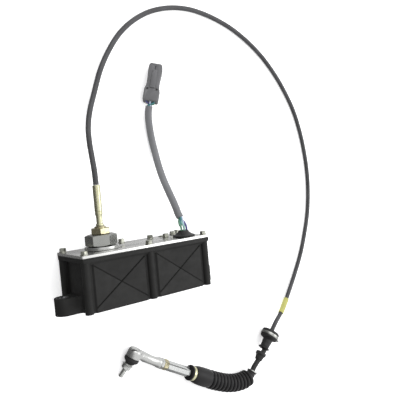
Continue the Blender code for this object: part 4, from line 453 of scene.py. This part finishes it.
def turned(name, profile, at, axis, closed, sides, side=None, sharp=32):
    """A round piece about an axis, from (radius, height) points."""
    axis = Vector(axis).normalized()
    x, y = across(axis, side)
    turns = circle(sides)
    rings = [[Vector(at) + axis * h + (x * c + y * s) * r for c, s in turns] for r, h in profile]
    return meshed(name, rings, closed, sharp=sharp)


def swept(name, line, profile, sides, closed, sharp, shape=None):
    """A round piece along a line, from (radius, distance along the line) points."""
    turns = circle(sides)
    rings = []
    for r, distance in profile:
        axis = line.heading(distance)
        x, y = across(axis)
        centre = line.at(distance)
        rings.append([centre + (x * c + y * s) * (r * (shape(c, s, distance) if shape else 1.0))
                      for c, s in turns])
    return meshed(name, rings, closed, sharp=sharp)


def lofted(name, rows, at, axis, side):
    """A skin through ovals along an axis, from (distance, lowest, highest, half width) rows."""
    x, y = across(Vector(axis), side)
    rings = []
    for height, low, high, half in rows:
        centre = Vector(at) + Vector(axis) * height + x * ((low + high) / 2)
        rings.append([centre + x * ((high - low) / 2 * c) + y * (half * s) for c, s in circle(56)])
    return meshed(name, rings, False, sharp=60)


def outlined(name, outline, low, high, at, axis, side, bevel=0.0):
    """A plate or block: a flat outline carried from low to high along the axis, with its edges eased."""
    x, y = across(Vector(axis), side)
    axis = Vector(axis).normalized()
    if bevel:
        levels = [(bevel, low), (bevel * 0.3, low + bevel * 0.3), (0, low + bevel), (0, high - bevel),
                  (bevel * 0.3, high - bevel * 0.3), (bevel, high)]
    else:
        levels = [(0, low), (0, high)]
    rings = []
    for inset, height in levels:
        ring = shrunk(outline, inset)
        rings.append([Vector(at) + axis * height + x * a + y * b for a, b in ring])
    return meshed(name, rings, False)


def shrunk(outline, inset):
    """The outline moved in by a small distance."""
    if not inset:
        return list(outline)
    result, count = [], len(outline)
    area = sum(a[0] * b[1] - b[0] * a[1] for a, b in zip(outline, outline[1:] + outline[:1]))
    sign = 1.0 if area > 0 else -1.0
    for i, point in enumerate(outline):
        before, after = Vector(outline[i - 1]), Vector(outline[(i + 1) % count])
        here = Vector(point)
        a, b = (here - before).normalized(), (after - here).normalized()
        normal = Vector((-(a.y + b.y), a.x + b.x))
        if normal.length < 1e-9:
            normal = Vector((-a.y, a.x))
        normal.normalize()
        result.append(tuple(here + normal * inset * sign))
    return result


def rounded_rectangle(left, right, low, high, radius):
    points, steps = [], 6
    for cx, cy, start in ((right - radius, high - radius, 0), (left + radius, high - radius, 90),
                          (left + radius, low + radius, 180), (right - radius, low + radius, 270)):
        for k in range(steps + 1):
            a = math.radians(start + 90 * k / steps)
            points.append((cx + radius * math.cos(a), cy + radius * math.sin(a)))
    return points


def baked(obj, sharp):
    """The object with its modifiers applied, as a new plain mesh."""
    bpy.context.view_layer.update()
    data = bpy.data.meshes.new_from_object(obj.evaluated_get(bpy.context.evaluated_depsgraph_get()))
    obj.modifiers.clear()
    obj.data = data
    data.shade_smooth()
    data.set_sharp_from_angle(angle=math.radians(sharp))
    return obj


def combined(obj, other, operation="DIFFERENCE", sharp=32):
    step = obj.modifiers.new(operation.lower(), "BOOLEAN")
    step.operation = operation
    step.object = other
    step.solver = "EXACT"
    baked(obj, sharp)
    bpy.data.objects.remove(other, do_unlink=True)
    return obj


def eased(obj, width, limit=30, sharp=32):
    """The object's sharp edges rounded."""
    step = obj.modifiers.new("eased", "BEVEL")
    step.width = width
    step.segments = 2
    step.limit_method = "ANGLE"
    step.angle_limit = math.radians(limit)
    step.harden_normals = True
    return baked(obj, sharp)


def hexagon(flats):
    """A hexagon with a flat side square to the first direction."""
    corner = flats / math.sqrt(3)
    return [(corner * math.cos(math.radians(60 * k + 30)), corner * math.sin(math.radians(60 * k + 30)))
            for k in range(6)]


def nut(name, flats, height, bore, at, axis, side, ease=0.00022):
    """A hexagon nut with both faces chamfered, and its hole."""
    corner = flats / math.sqrt(3)
    drop = (corner - flats / 2) * 0.62
    body = outlined(name, hexagon(flats), 0, height, at, axis, side)
    shape = [(0, height), (flats / 2 * 0.94, height), (corner * 1.02, height - drop), (corner * 1.02, drop),
             (flats / 2 * 0.94, 0), (0, 0)]
    combined(body, turned(name + "_cone", shape, at, axis, False, 96, side), "INTERSECT")
    lead_in, past = 0.0008, 0.001
    hole = [(0, height + past), (bore + lead_in, height + past), (bore + lead_in, height),
            (bore, height - lead_in), (bore, lead_in), (bore + lead_in, 0), (bore + lead_in, -past),
            (0, -past)]
    combined(body, turned(name + "_bore", hole, at, axis, False, 64, side))
    return eased(body, ease, sharp=14)


def threaded(name, radius, depth, low, high, at, axis):
    """A screw thread with a chamfered tip."""
    sides, tip = 36, 0.0008
    x, y = across(Vector(axis))
    axis = Vector(axis).normalized()
    rows = max(8, int((high - low) / THREAD_PITCH * 6))
    rings = []
    for i in range(rows + 1):
        h = low + (high - low) * i / rows
        limit = radius
        if h > high - tip:
            limit = radius - depth - (h - (high - tip)) * 0.8
        ring = []
        for k in range(sides):
            phase = math.cos(math.tau * (h / THREAD_PITCH - k / sides))
            r = min(limit, radius - depth * (0.5 - 0.5 * phase))
            a = math.tau * k / sides
            ring.append(Vector(at) + axis * h + (x * math.cos(a) + y * math.sin(a)) * r)
        rings.append(ring)
    return meshed(name, rings, False, sharp=50)


def tube(name, points, radius, resolution=7):
    """A round curve through points, with filled ends."""
    data = bpy.data.curves.new(name, "CURVE")
    data.dimensions = "3D"
    data.bevel_depth = radius
    data.bevel_resolution = resolution
    data.use_fill_caps = True
    spline = data.splines.new("POLY")
    spline.points.add(len(points) - 1)
    for point, place in zip(spline.points, points):
        point.co = (*place, 1)
    spline.use_smooth = True
    obj = bpy.data.objects.new(name, data)
    bpy.context.scene.collection.objects.link(obj)
    return obj


def settle(obj, look, body, nodes):
    """Paints a finished piece, hides the solids it stands for and lets it ride on its body, if it has one."""
    obj.data.materials.clear()
    obj.data.materials.append(LOOKS[look].material)
    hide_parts(*nodes)
    if body:
        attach(obj, body)
    return obj


def smooth_by_angle(limit):
    """A modifier's node group that smooths a mesh but for edges sharper than the limit."""
    group = bpy.data.node_groups.new("smooth_%d" % limit, "GeometryNodeTree")
    group.interface.new_socket("Geometry", in_out="INPUT", socket_type="NodeSocketGeometry")
    group.interface.new_socket("Geometry", in_out="OUTPUT", socket_type="NodeSocketGeometry")
    enter, leave = group.nodes.new("NodeGroupInput"), group.nodes.new("NodeGroupOutput")
    angle = group.nodes.new("GeometryNodeInputMeshEdgeAngle")
    test = group.nodes.new("FunctionNodeCompare")
    test.data_type = "FLOAT"
    test.operation = "LESS_EQUAL"
    test.inputs["B"].default_value = math.radians(limit)
    faces = group.nodes.new("GeometryNodeSetShadeSmooth")
    edges = group.nodes.new("GeometryNodeSetShadeSmooth")
    edges.domain = "EDGE"
    group.links.new(angle.outputs["Unsigned Angle"], test.inputs["A"])
    group.links.new(enter.outputs[0], faces.inputs["Geometry"])
    group.links.new(faces.outputs["Geometry"], edges.inputs["Geometry"])
    group.links.new(test.outputs["Result"], edges.inputs["Shade Smooth"])
    group.links.new(edges.outputs["Geometry"], leave.inputs[0])
    return group


def dress(name, look, ease=0.0, limit=32):
    """A solid of the frame keeps its shape and gets its finish, smooth shading and eased edges."""
    obj = frame["nodes"][name]
    obj.data.materials.clear()
    obj.data.materials.append(LOOKS[look].material)
    for attribute in ("custom_normal", "sharp_edge", "sharp_face"):
        if attribute in obj.data.attributes:
            obj.data.attributes.remove(obj.data.attributes[attribute])
    weld = obj.modifiers.new("weld", "WELD")
    weld.merge_threshold = 0.000004
    if ease:
        flat = obj.modifiers.new("flat", "DECIMATE")
        flat.decimate_type = "DISSOLVE"
        flat.angle_limit = math.radians(0.6)
        bevel = obj.modifiers.new("eased", "BEVEL")
        bevel.width = ease
        bevel.segments = 2
        bevel.limit_method = "ANGLE"
        bevel.angle_limit = math.radians(limit)
    smooth = obj.modifiers.new("smooth", "NODES")
    if limit not in SMOOTH:
        SMOOTH[limit] = smooth_by_angle(limit)
    smooth.node_group = SMOOTH[limit]
    return obj


# Cords
def make_conduit():
    tail = [FITTING - FITTING_AXIS * 0.016, FITTING - FITTING_AXIS * GAP]
    line = Line(CONDUIT_ROUTE + tail)
    conduit = tube("conduit", line.even(0.004), CONDUIT_RADIUS)
    settle(conduit, "conduit_plastic", "unit", ["control_cable"])
    start, chamfer = line.length - TAG_TAIL - TAG_LENGTH, 0.0003
    places = [start + TAG_LENGTH * i / TAG_STEPS for i in range(TAG_STEPS + 1)]
    outer = [(TAG_RADIUS, place) for place in places]
    outer[0] = (TAG_RADIUS - chamfer, start)
    outer[-1] = (TAG_RADIUS - chamfer, start + TAG_LENGTH)
    outer.insert(1, (TAG_RADIUS, start + chamfer))
    outer.insert(-1, (TAG_RADIUS, start + TAG_LENGTH - chamfer))
    inside = [(CONDUIT_RADIUS + GAP, place) for place in reversed(places)]
    tag = swept("tag", line, outer + inside, 40, True, 50)
    settle(tag, "tag_yellow", "unit", ["tag_band"])
    return conduit, line, tag


def make_sleeve():
    line = Line(HARNESS_ROUTE)
    sleeve = tube("sleeve", line.even(0.003), SLEEVE_RADIUS)
    settle(sleeve, "sleeve_plastic", "unit", ["harness_sleeve"])
    return sleeve, line


def make_leads(line):
    """Five separate leads at each end of the sleeve."""
    pieces = []
    dome_top = COVER_SEAT + 0.0082
    entry, first = line.at(0.0), line.heading(0.0)
    x, y = across(first, (1, 0, 0))
    spread = [(-0.0042, 0.0014), (-0.0020, -0.0018), (0.0002, 0.0018), (0.0028, -0.0014), (0.0046, 0.0014)]
    inside = [(-0.0020, 0.0012), (-0.0012, -0.0016), (0.0000, 0.0020), (0.0016, -0.0012), (0.0022, 0.0012)]
    for colour, (a, b), (c, d) in zip(LEAD_COLOURS, spread, inside):
        base = Vector((DOME[0] + a, dome_top - 0.0012, DOME[1] + b))
        end = entry + x * c + y * d
        bow, ease = Vector((a * 0.30, 0.002, b * 0.2)), Vector((a * 0.20, 0.001, 0))
        points = [base, base + UP * 0.005, base.lerp(end, 0.40) + bow, base.lerp(end, 0.70) + ease,
                  end - first * 0.002, end + first * 0.004]
        lead = tube("lower_" + colour, Line(points).even(0.0016), 0.0014, 5)
        pieces.append(settle(lead, colour, "unit", ["harness_leads_lower"]))
    leaving, last = line.at(line.length), line.heading(line.length)
    x, y = across(last, PLUG_SIDE)
    for colour, (column, row), (c, d) in zip(LEAD_COLOURS, LEAD_PORTS, inside):
        end = PLUG + PLUG_SIDE * (column * PORT_STEP) + PLUG_DOWN * (row * PORT_ROW)
        base = leaving + x * c + y * d
        points = [base - last * 0.003, base + last * 0.0006, base.lerp(end, 0.55), end - PLUG_AXIS * 0.0008,
                  end + PLUG_AXIS * 0.0022]
        lead = tube("upper_" + colour, Line(points).even(0.0006), 0.0012, 5)
        pieces.append(settle(lead, colour, "unit", ["harness_leads_upper"]))
    return pieces


# Box
def make_box():
    dress("housing", "black_plastic", 0.00035, 28)
    dress("cover_plate", "cover_aluminium", 0.00040, 30)
    dress("cover_gasket", "black_rubber")
    for name in ("left_lug_bush", "right_lug_bush"):
        dress(name, "dark_steel", 0.0004, 40)


def flange_screw(name, x, z, turn):
    """A flanged hexagon head with a dished top, above its seat."""
    at = Vector((x, COVER_SEAT, z))
    side = (math.cos(math.radians(turn)), 0, math.sin(math.radians(turn)))
    head = outlined(name, hexagon(SCREW_FLATS), 0.0006, 0.0048, at, UP, side)
    shape = [(0, 0.0045), (0.0024, 0.0045), (0.0031, 0.0048), (0.0034, 0.0048), (0.0043, 0.0041), (0.0043, 0),
             (0, 0)]
    combined(head, turned(name + "_cone", shape, at, UP, False, 48, side), "INTERSECT")
    flange = [(0, 0.0011), (0.0037, 0.0011), (0.0045, 0.0007), (0.0046, 0.0004), (0.0046, 0), (0.0020, 0),
              (0.0020, -0.004), (0, -0.004)]
    combined(head, turned(name + "_flange", flange, at, UP, False, 48, side), "UNION")
    return eased(head, 0.00015, sharp=14)


def make_screws():
    for kind, places, turn in (("cover_screw", COVER_SCREWS, 17), ("mechanism_screw", MECHANISM_SCREWS, 25)):
        for i, (x, z) in enumerate(places):
            screw = flange_screw("%s_head_%d" % (kind, i + 1), x, z, turn * (i + 1))
            settle(screw, "screw_zinc", "unit", ["%s_%d" % (kind, i + 1)])
    vent = [(0, 0.0012), (0.0012, 0.0012), (0.0016, 0.0009), (0.0040, 0.0009), (0.0044, 0.0012),
            (0.0050, 0.0008), (0.0050, 0), (0.0028, 0), (0.0028, -0.0020), (0, -0.0020)]
    disc = turned("vent_disc", soften(vent, 0.0003, False), (VENT[0], COVER_SEAT, VENT[1]), UP, False, 48)
    settle(disc, "screw_zinc", "unit", ["vent_plug"])


def make_outlet():
    washer_top = COVER_SEAT + WASHER_HEIGHT
    nut_y = washer_top + GAP
    locknut_y = nut_y + GLAND_NUT_HEIGHT + GAP
    neck_top = locknut_y + LOCKNUT_HEIGHT + 0.002
    narrow_top = neck_top + 0.012
    centre, bore = (GLAND_X, 0, CABLE_Z), 0.0103
    washer = [(0.0210, washer_top), (0.0210, COVER_SEAT), (bore, COVER_SEAT), (bore, washer_top)]
    washer = turned("outlet_washer", soften(washer, 0.0007), centre, UP, True, 128)
    settle(washer, "bright_zinc", "unit", ["gland_washer"])
    big_at, small_at = (GLAND_X, nut_y, CABLE_Z), (GLAND_X, locknut_y, CABLE_Z)
    big = nut("outlet_nut", GLAND_NUT_FLATS, GLAND_NUT_HEIGHT, bore, big_at, UP, (0.550, 0, 0.835), 0.0003)
    settle(big, "zinc_steel", "unit", ["gland_nut"])
    small = nut("outlet_locknut", LOCKNUT_FLATS, LOCKNUT_HEIGHT, 0.0073, small_at, UP, (0.90, 0, 0.43))
    settle(small, "yellow_zinc", "unit", ["gland_locknut"])
    dress("gland_body", "yellow_zinc")
    hub = [(0.0026, HUB_TOP), (0.0041, HUB_TOP), (0.0047, HUB_TOP - 0.0006), (0.0047, narrow_top + 0.0062),
           (0.0043, narrow_top + 0.0058), (0.0043, narrow_top + 0.0052), (0.0047, narrow_top + 0.0048),
           (0.0047, narrow_top + 0.003), (0.0038, narrow_top), (0.0038, neck_top + 0.0030),
           (0.0050, neck_top + 0.0026), (0.0050, neck_top + 0.0006), (0.0038, neck_top + 0.0003),
           (0.0038, neck_top - 0.008), (0.0019, neck_top - 0.008), (0.0019, HUB_TOP - 0.001)]
    hub = turned("outlet_tube", soften(hub, 0.0003), centre, UP, True, 64)
    settle(hub, "hub_yellow", "unit", ["hub_tube"])


def make_dome():
    at = (DOME[0], COVER_SEAT, DOME[1])
    dome = [(0, 0.0070), (0.0052, 0.0074), (0.0060, 0.0082), (0.0068, 0.0078), (0.0074, 0.0062),
            (0.0092, 0.0044), (0.0120, 0.0026), (0.0143, 0.0018), (0.0150, 0.0011), (0.0150, 0), (0.0104, 0),
            (0.0104, -0.004), (0, -0.004)]
    piece = turned("harness_dome", soften(dome, 0.0008, False, 4), at, UP, False, 96, sharp=60)
    settle(piece, "black_rubber", "unit", ["harness_grommet"])


# Bulkhead grommet and what follows it
def make_bulkhead():
    flange_at = CAP_LENGTH + GAP + BRACKET_THICK + GAP
    barrel_at = flange_at + FLANGE_LENGTH
    barrel_end = barrel_at + BARREL_LENGTH
    snap_end = barrel_end + SNAP_LENGTH
    seal_at = snap_end + SEAL_STEP
    bore, waist, rim = 0.0043, 0.0064, 0.0145
    rubber = [(0.0037, 0.0010), (0.0037, -0.0004), (0.0052, -0.0004), (0.0057, 0.0004), (0.0062, 0.0012),
              (0.0105, 0.0014), (0.0136, 0.0022), (rim, 0.0040), (rim, CAP_LENGTH), (waist, CAP_LENGTH),
              (waist, flange_at), (rim, flange_at), (0.0143, flange_at + 0.0018),
              (0.0128, flange_at + 0.0032), (0.0086, barrel_at), (0.0075, barrel_at + 0.0014),
              (0.0074, barrel_at + 0.0060), (0.0070, barrel_at + 0.0066), (0.0070, barrel_end),
              (bore, barrel_end), (bore, 0.0040), (0.0037, 0.0030)]
    piece = turned("grommet", soften(rubber, 0.0007), FITTING, FITTING_AXIS, True, 96, sharp=60)
    pieces = [settle(piece, "black_rubber", "unit", ["bulkhead_grommet"])]
    pieces.append(dress("bulkhead_bracket", "zinc_steel", 0.0004, 35))
    snap = [(0.0080, barrel_end + GAP), (0.0092, barrel_end + 0.0014), (0.0092, snap_end - 0.0008),
            (0.0074, snap_end), (bore, snap_end), (bore, barrel_end + GAP)]
    piece = turned("snap", soften(snap, 0.0005), FITTING, FITTING_AXIS, True, 72)
    pieces.append(settle(piece, "black_rubber", "unit", ["snap_ring"]))
    seal = [(0.0078, seal_at), (0.0084, seal_at + 0.0010), (0.0084, seal_at + 0.0046),
            (0.0074, seal_at + 0.0056), (0.0068, seal_at + 0.0064), (0.0056, SEAL_END - 0.0006),
            (0.0052, SEAL_END), (bore, SEAL_END), (bore, seal_at)]
    piece = turned("wiper", soften(seal, 0.0008), FITTING, FITTING_AXIS, True, 72, sharp=50)
    pieces.append(settle(piece, "black_rubber", "unit", ["cone_seal"]))
    return pieces


def boot_line():
    begin = BALL + ROD * (SLEEVE_END + GAP)
    end = FITTING + FITTING_AXIS * (SEAL_END + 0.003)
    return Line([begin, begin + ROD * 0.014] + [Vector(p) for p in BOOT_ROUTE] + [end])


def make_boot():
    """The bellows on its bent line, the stem, the cable between them and the clip."""
    line = boot_line()
    ring, bore, neck = 0.0103, 0.0058, 0.0049
    band_end = BOOT_LIP + BAND_WIDTH
    pitch = (BOOT_LENGTH - BOOT_LIP - BAND_WIDTH - BOOT_COLLAR - 0.004) / BOOT_FOLDS
    first = band_end + BOOT_COLLAR - 0.0085
    outer = [(ring - 0.0004, 0), (ring + 0.0006, 0.0006), (ring + 0.0008, 0.0014),
             (ring + 0.0006, BOOT_LIP - 0.0006), (ring - 0.0004, BOOT_LIP - 0.0002),
             (ring - 0.0012, BOOT_LIP), (ring - 0.0012, band_end), (ring + 0.0004, band_end + 0.0001),
             (ring + 0.0010, band_end + 0.0006), (ring + 0.0013, band_end + 0.0020),
             (BOOT_RADIUS - 0.0014, band_end + 0.0052),
             (BOOT_RADIUS - 0.0009, band_end + 0.0085), (BOOT_RADIUS - 0.0004, first - 0.014),
             (BOOT_RADIUS - 0.0003, first - 0.006), (BOOT_RADIUS - 0.0007, first - 0.0012)]
    inner = [(bore, 0), (bore, band_end + 0.002), (BOOT_RADIUS - 0.0032, band_end + 0.008),
             (BOOT_ROOT - BOOT_SKIN, first)]
    for i in range(BOOT_FOLDS):
        low = first + i * pitch
        crest = BOOT_RADIUS if i < BOOT_FOLDS - 1 else BOOT_RADIUS - 0.0004
        for k in range(13):
            u = k / 12
            rise = (1 - abs(2 * u - 1) ** 2.6) ** 0.75
            outer.append((BOOT_ROOT + (crest - BOOT_ROOT) * rise, low + pitch * (0.02 + 0.96 * u)))
        inner += [(crest - BOOT_SKIN, low + pitch * 0.5), (BOOT_ROOT - BOOT_SKIN, low + pitch)]
    end = first + BOOT_FOLDS * pitch
    outer += [(0.0100, end + 0.0003), (0.0088, end + 0.0012), (0.0080, end + 0.0020), (0.0074, end + 0.0030),
              (0.0072, end + 0.0034), (0.0070, BOOT_LENGTH - 0.0004), (0.0066, BOOT_LENGTH)]
    inner += [(neck, end + 0.0012), (neck, BOOT_LENGTH)]
    boot = swept("bellows", line, list(reversed(outer)) + inner, 64, True, 70)
    settle(boot, "boot_rubber", None, ["bellows_boot"])
    yielding = {"start": tuple(line.at(first - 0.004)), "end": tuple(line.at(end - 0.004))}
    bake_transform(boot)
    stem_from, stem_to = BOOT_LENGTH - 0.012, line.length + 0.047
    stem = [(STEM_RADIUS, stem_from + (line.length - stem_from) * i / 20) for i in range(21)]
    stem = [(0, stem_from)] + stem + [(STEM_RADIUS, line.length + 0.018), (STEM_RADIUS, stem_to)]
    stem = swept("stem", line, stem + [(0, stem_to)], 40, False, 60)
    settle(stem, "black_rubber", "unit", ["cable_stem"])
    core_from, core_to = 0.0140, stem_from - 2 * GAP
    core = [(CORE_RADIUS, core_from + (core_to - core_from) * i / 100) for i in range(101)]

    def strands(c, s, distance):
        return 0.95 + 0.05 * math.cos(6 * math.atan2(s, c) + 500 * distance)

    cable = swept("core_cable", line, [(0, core_from)] + core + [(0, core_to)], 36, False, 60, strands)
    settle(cable, "zinc_steel", None, ["boot_core_cable"])
    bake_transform(cable)
    clip_from = BOOT_LENGTH - CLIP_WIDTH - 0.0006
    clip_to = clip_from + CLIP_WIDTH
    clip = soften([(0.0083, clip_from), (0.0083, clip_to), (0.0075, clip_to), (0.0075, clip_from)], 0.0003)
    clip = swept("clip", line, clip, 64, True, 50)
    settle(clip, "bright_zinc", "unit", ["boot_clip"])
    return boot, stem, clip


# Rod end
def make_rod():
    """The ball socket with its neck and shank, two nuts, the hex sleeve, the link screw and the band."""
    cup = [(0, CUP_TOP), (0.0090, CUP_TOP), (0.0098, 0.0037), (0.0100, 0.0028), (0.0100, -0.0038),
           (0.0097, -0.0056), (0.0088, -0.0072), (0.0072, -0.0083), (0.0060, -0.0085), (0.0054, -0.0080),
           (0.0030, -0.0079), (0, -0.0079)]
    head = turned("rod_head", cup, BALL, MOUTH, False, 96, sharp=50)
    shank = [(0, SHANK_END), (0.0066, SHANK_END), (0.0073, 0.0443), (0.0073, 0.0422), (0.0070, 0.0408),
             (0.0064, 0.0385), (0.0060, 0.0340), (0.0058, 0.0270), (0.0056, 0.0200), (0.0054, 0.0160),
             (0.0048, 0.0136), (0.0040, 0.0112), (0.0040, 0.0070), (0, 0.0070)]
    combined(head, turned("shank", shank, BALL, ROD, False, 72), "UNION", 50)
    neck = [(0.0040, -0.0083, 0.0040, 0.0090), (0.0090, -0.0083, 0.0040, 0.0083),
            (0.0125, -0.0081, 0.0042, 0.0075), (0.0165, -0.0076, 0.0048, 0.0067),
            (0.0210, -0.0069, 0.0053, 0.0061), (0.0270, -0.0062, 0.0056, 0.0057),
            (0.0330, -0.0058, 0.0056, 0.0056)]
    combined(head, lofted("neck", neck, BALL, ROD, MOUTH), "UNION", 50)
    room = [(0, 0.0070), (0.0062, 0.0070), (0.0062, 0.0035), (0.0085, 0.0034), (0.0085, -0.0036),
            (0.0060, -0.0068), (0, -0.0071)]
    combined(head, turned("room", room, BALL, MOUTH, False, 48), "DIFFERENCE", 50)
    hole = [(0, 0.0470), (ROD_BORE, 0.0470), (ROD_BORE, 0.0260), (0, 0.0260)]
    combined(head, turned("hole", hole, BALL, ROD, False, 40), "DIFFERENCE", 50)
    settle(head, "bright_zinc", "rod", ["ball_socket"])
    dress("socket_liner", "white_plastic")
    step = SHANK_END + GAP
    thin = nut("thin_nut", ROD_NUT_FLATS, THIN_NUT_HEIGHT, ROD_BORE, BALL + ROD * step, ROD, OUT)
    settle(thin, "bright_zinc", "rod", ["pale_locknut"])
    step += THIN_NUT_HEIGHT + GAP
    lock = nut("lock_nut", ROD_NUT_FLATS, LOCK_NUT_HEIGHT, ROD_BORE, BALL + ROD * step, ROD, OUT)
    settle(lock, "yellow_zinc", "rod", ["yellow_locknut"])
    step += LOCK_NUT_HEIGHT + GAP
    at, length, corner = BALL + ROD * step, HEX_LENGTH, HEX_FLATS / math.sqrt(3)
    bar = outlined("hex_sleeve", hexagon(HEX_FLATS), 0, length, at, ROD, OUT)
    cone = [(0, 0), (HEX_FLATS / 2 * 0.90, 0), (corner * 1.02, 0.0012), (corner * 1.02, length - 0.0012),
            (HEX_FLATS / 2 * 0.90, length), (0, length)]
    combined(bar, turned("cone", cone, at, ROD, False, 96, OUT), "INTERSECT")
    hole = [(0, 0.020), (ROD_BORE, 0.020), (ROD_BORE, -0.002), (0, -0.002)]
    combined(bar, turned("bar_hole", hole, at, ROD, False, 40))
    spigot = [(0, length - 0.001), (0.0055, length - 0.001), (0.0055, length + SPIGOT_LENGTH),
              (0, length + SPIGOT_LENGTH)]
    combined(bar, turned("spigot", spigot, at, ROD, False, 64), "UNION")
    eased(bar, 0.0003, sharp=14)
    settle(bar, "rod_aluminium", "rod", ["rod_sleeve"])
    link = threaded("link_thread", LINK_RADIUS, 0.0006, 0.0280, step + 0.019, BALL, ROD)
    settle(link, "zinc_steel", "rod", ["link_screw"])
    band_at = step + length + GAP + BOOT_LIP + GAP
    band = soften([(0.0106, 0.0044), (0.0106, 0), (0.0094, 0), (0.0094, 0.0044)], 0.0004)
    band = turned("band", band, BALL + ROD * band_at, ROD, True, 96)
    settle(band, "hub_yellow", "rod", ["boot_band"])


def make_stud():
    """The ball stud, its flange nut, and the dust cap between the socket and the stud."""
    length = (STUD_TIP - BALL).length
    meet = math.degrees(math.atan2(math.sqrt(BALL_RADIUS ** 2 - BALL_NECK ** 2), BALL_NECK))
    angles = [math.radians(meet * (1 - t / 14) - 90 * t / 14) for t in range(15)]
    arc = [(BALL_RADIUS * math.cos(a), BALL_RADIUS * math.sin(a)) for a in angles]
    arc[-1] = (0, -BALL_RADIUS)
    ball = turned("stud_ball", [(0, 0.0100), (BALL_NECK, 0.0100)] + arc, BALL, STUD, False, 48)
    thread = threaded("stud_thread", STUD_RADIUS, 0.0005, 0.0090, length, BALL, STUD)
    combined(ball, thread, "UNION", 50)
    settle(ball, "bright_zinc", "stud", ["ball_stud"])
    seat, height = 0.0138, 0.0076
    at = BALL + STUD * seat
    head = outlined("flange_nut", hexagon(STUD_NUT_FLATS), 0.0004, height, at, STUD, ROD)
    cone = [(0, height), (0.0051, height), (0.0064, height - 0.0008), (0.0064, 0), (0, 0)]
    combined(head, turned("nut_cone", cone, at, STUD, False, 72, ROD), "INTERSECT")
    flange = [(0, 0.0028), (0.0056, 0.0028), (0.0070, 0.0021), (0.0077, 0.0016), (0.0077, 0.0008),
              (0.0050, 0.0008), (0.0050, 0), (0, 0)]
    flange = turned("nut_flange", soften(flange, 0.0002, False), at, STUD, False, 72)
    combined(head, flange, "UNION")
    hole = [(0, height + 0.001), (STUD_BORE, height + 0.001), (STUD_BORE, -0.001), (0, -0.001)]
    combined(head, turned("nut_hole", hole, at, STUD, False, 48))
    eased(head, 0.00018, sharp=14)
    settle(head, "bright_zinc", "stud", ["stud_nut"])
    base = CUP_TOP + GAP
    end = base + DUST_CAP_LENGTH
    skin = 0.0012
    cap = [(0.0047, end), (0.0056, end), (0.0064, end - 0.0004), (0.0067, end - 0.0012),
           (0.0066, end - 0.0018), (0.0074, end - 0.0022), (0.0086, base + 0.0056), (0.0096, base + 0.0046),
           (0.0102, base + 0.0034), (0.0103, base + 0.0022), (0.0103, base + 0.0010), (0.0099, base + 0.0002),
           (0.0091, base), (0.0064, base), (0.0064, base + skin), (0.0088, base + 0.0026),
           (0.0078, base + 0.0050), (0.0055, end - skin - 0.0012), (0.0047, end - skin)]
    cap = turned("dust_boot", soften(cap, 0.0004), BALL, MOUTH, True, 72, sharp=60)
    settle(cap, "black_rubber", None, ["dust_cap"])
    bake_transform(cap)


# Plug
def make_plug():
    """The connector's body with its latch, slots, cells and the seat of its rear seal."""
    up = -PLUG_DOWN
    half = [(0.0165, 0.0101), (0.0190, 0.0101), (0.0225, 0.0091), (0.0286, 0.0088), (0.0340, 0.0090),
            (0.0418, 0.0097), (0.0500, 0.0096), (0.0528, 0.0090), (0.0544, 0.0078), (0.0550, 0.0062)]
    outline = half + [(a, -b) for a, b in reversed(half)]
    body = outlined("connector", outline, -0.0071, 0.0071, PLUG, up, PLUG_AXIS, 0.0014)
    block = rounded_rectangle(0.0, 0.0190, -0.01075, 0.01075, 0.0022)
    combined(body, outlined("block", block, -0.0079, 0.0079, PLUG, up, PLUG_AXIS, 0.0018), "UNION")
    latch = rounded_rectangle(0.0186, 0.0445, -0.0035, 0.0035, 0.0012)
    combined(body, outlined("latch", latch, 0.005, 0.0086, PLUG, up, PLUG_AXIS, 0.0006), "UNION")
    for sides in ((0.0455, 0.0505, -0.0009, 0.0009), (0.0150, 0.0182, 0.0050, 0.0078),
                  (0.0150, 0.0182, -0.0078, -0.0050)):
        slot = rounded_rectangle(*sides, 0.0005)
        combined(body, outlined("slot", slot, 0.0056, 0.0100, PLUG, up, PLUG_AXIS))
    cell = [(0, 0.056), (0.0014, 0.056), (0.0014, 0.046), (0, 0.046)]
    for column in (-1, 0, 1):
        for row in (-0.5, 0.5):
            at = PLUG + PLUG_SIDE * (column * PORT_STEP) + PLUG_DOWN * (row * PORT_ROW)
            combined(body, turned("cell", cell, at, PLUG_AXIS, False, 24))
    seat = rounded_rectangle(-0.0088, 0.0088, -0.0060, 0.0060, 0.003)
    combined(body, outlined("seat", seat, -0.001, 0.0036, PLUG, PLUG_AXIS, PLUG_SIDE))
    eased(body, 0.0003, 35)
    settle(body, "grey_plastic", "unit", ["plug_body"])
    rear_seal = dress("plug_rear_seal", "grey_plastic")
    return [body, rear_seal, dress("blanking_plug", "white_plastic", 0.0002, 40)]


LOOKS = make_finishes()
SMOOTH = {}
make_camera()
make_light()
make_floor()
conduit, conduit_line, tag = make_conduit()
sleeve, sleeve_line = make_sleeve()
leads = make_leads(sleeve_line)
make_box()
make_screws()
make_outlet()
make_dome()
bulkhead = make_bulkhead()
boot, stem, clip = make_boot()
make_rod()
make_stud()
plug = make_plug()

# The other solids that stay, most of them inside the box, get the finish of their slot
dressed = {"housing", "cover_plate", "cover_gasket", "left_lug_bush", "right_lug_bush", "gland_body",
           "bulkhead_bracket", "socket_liner", "plug_rear_seal", "blanking_plug"}
slots = {part["node"]: part["material_slot"] for part in frame["record"]["subparts"]}
for name, node in frame["nodes"].items():
    if not node.hide_render and name not in dressed:
        dress(name, slots[name])
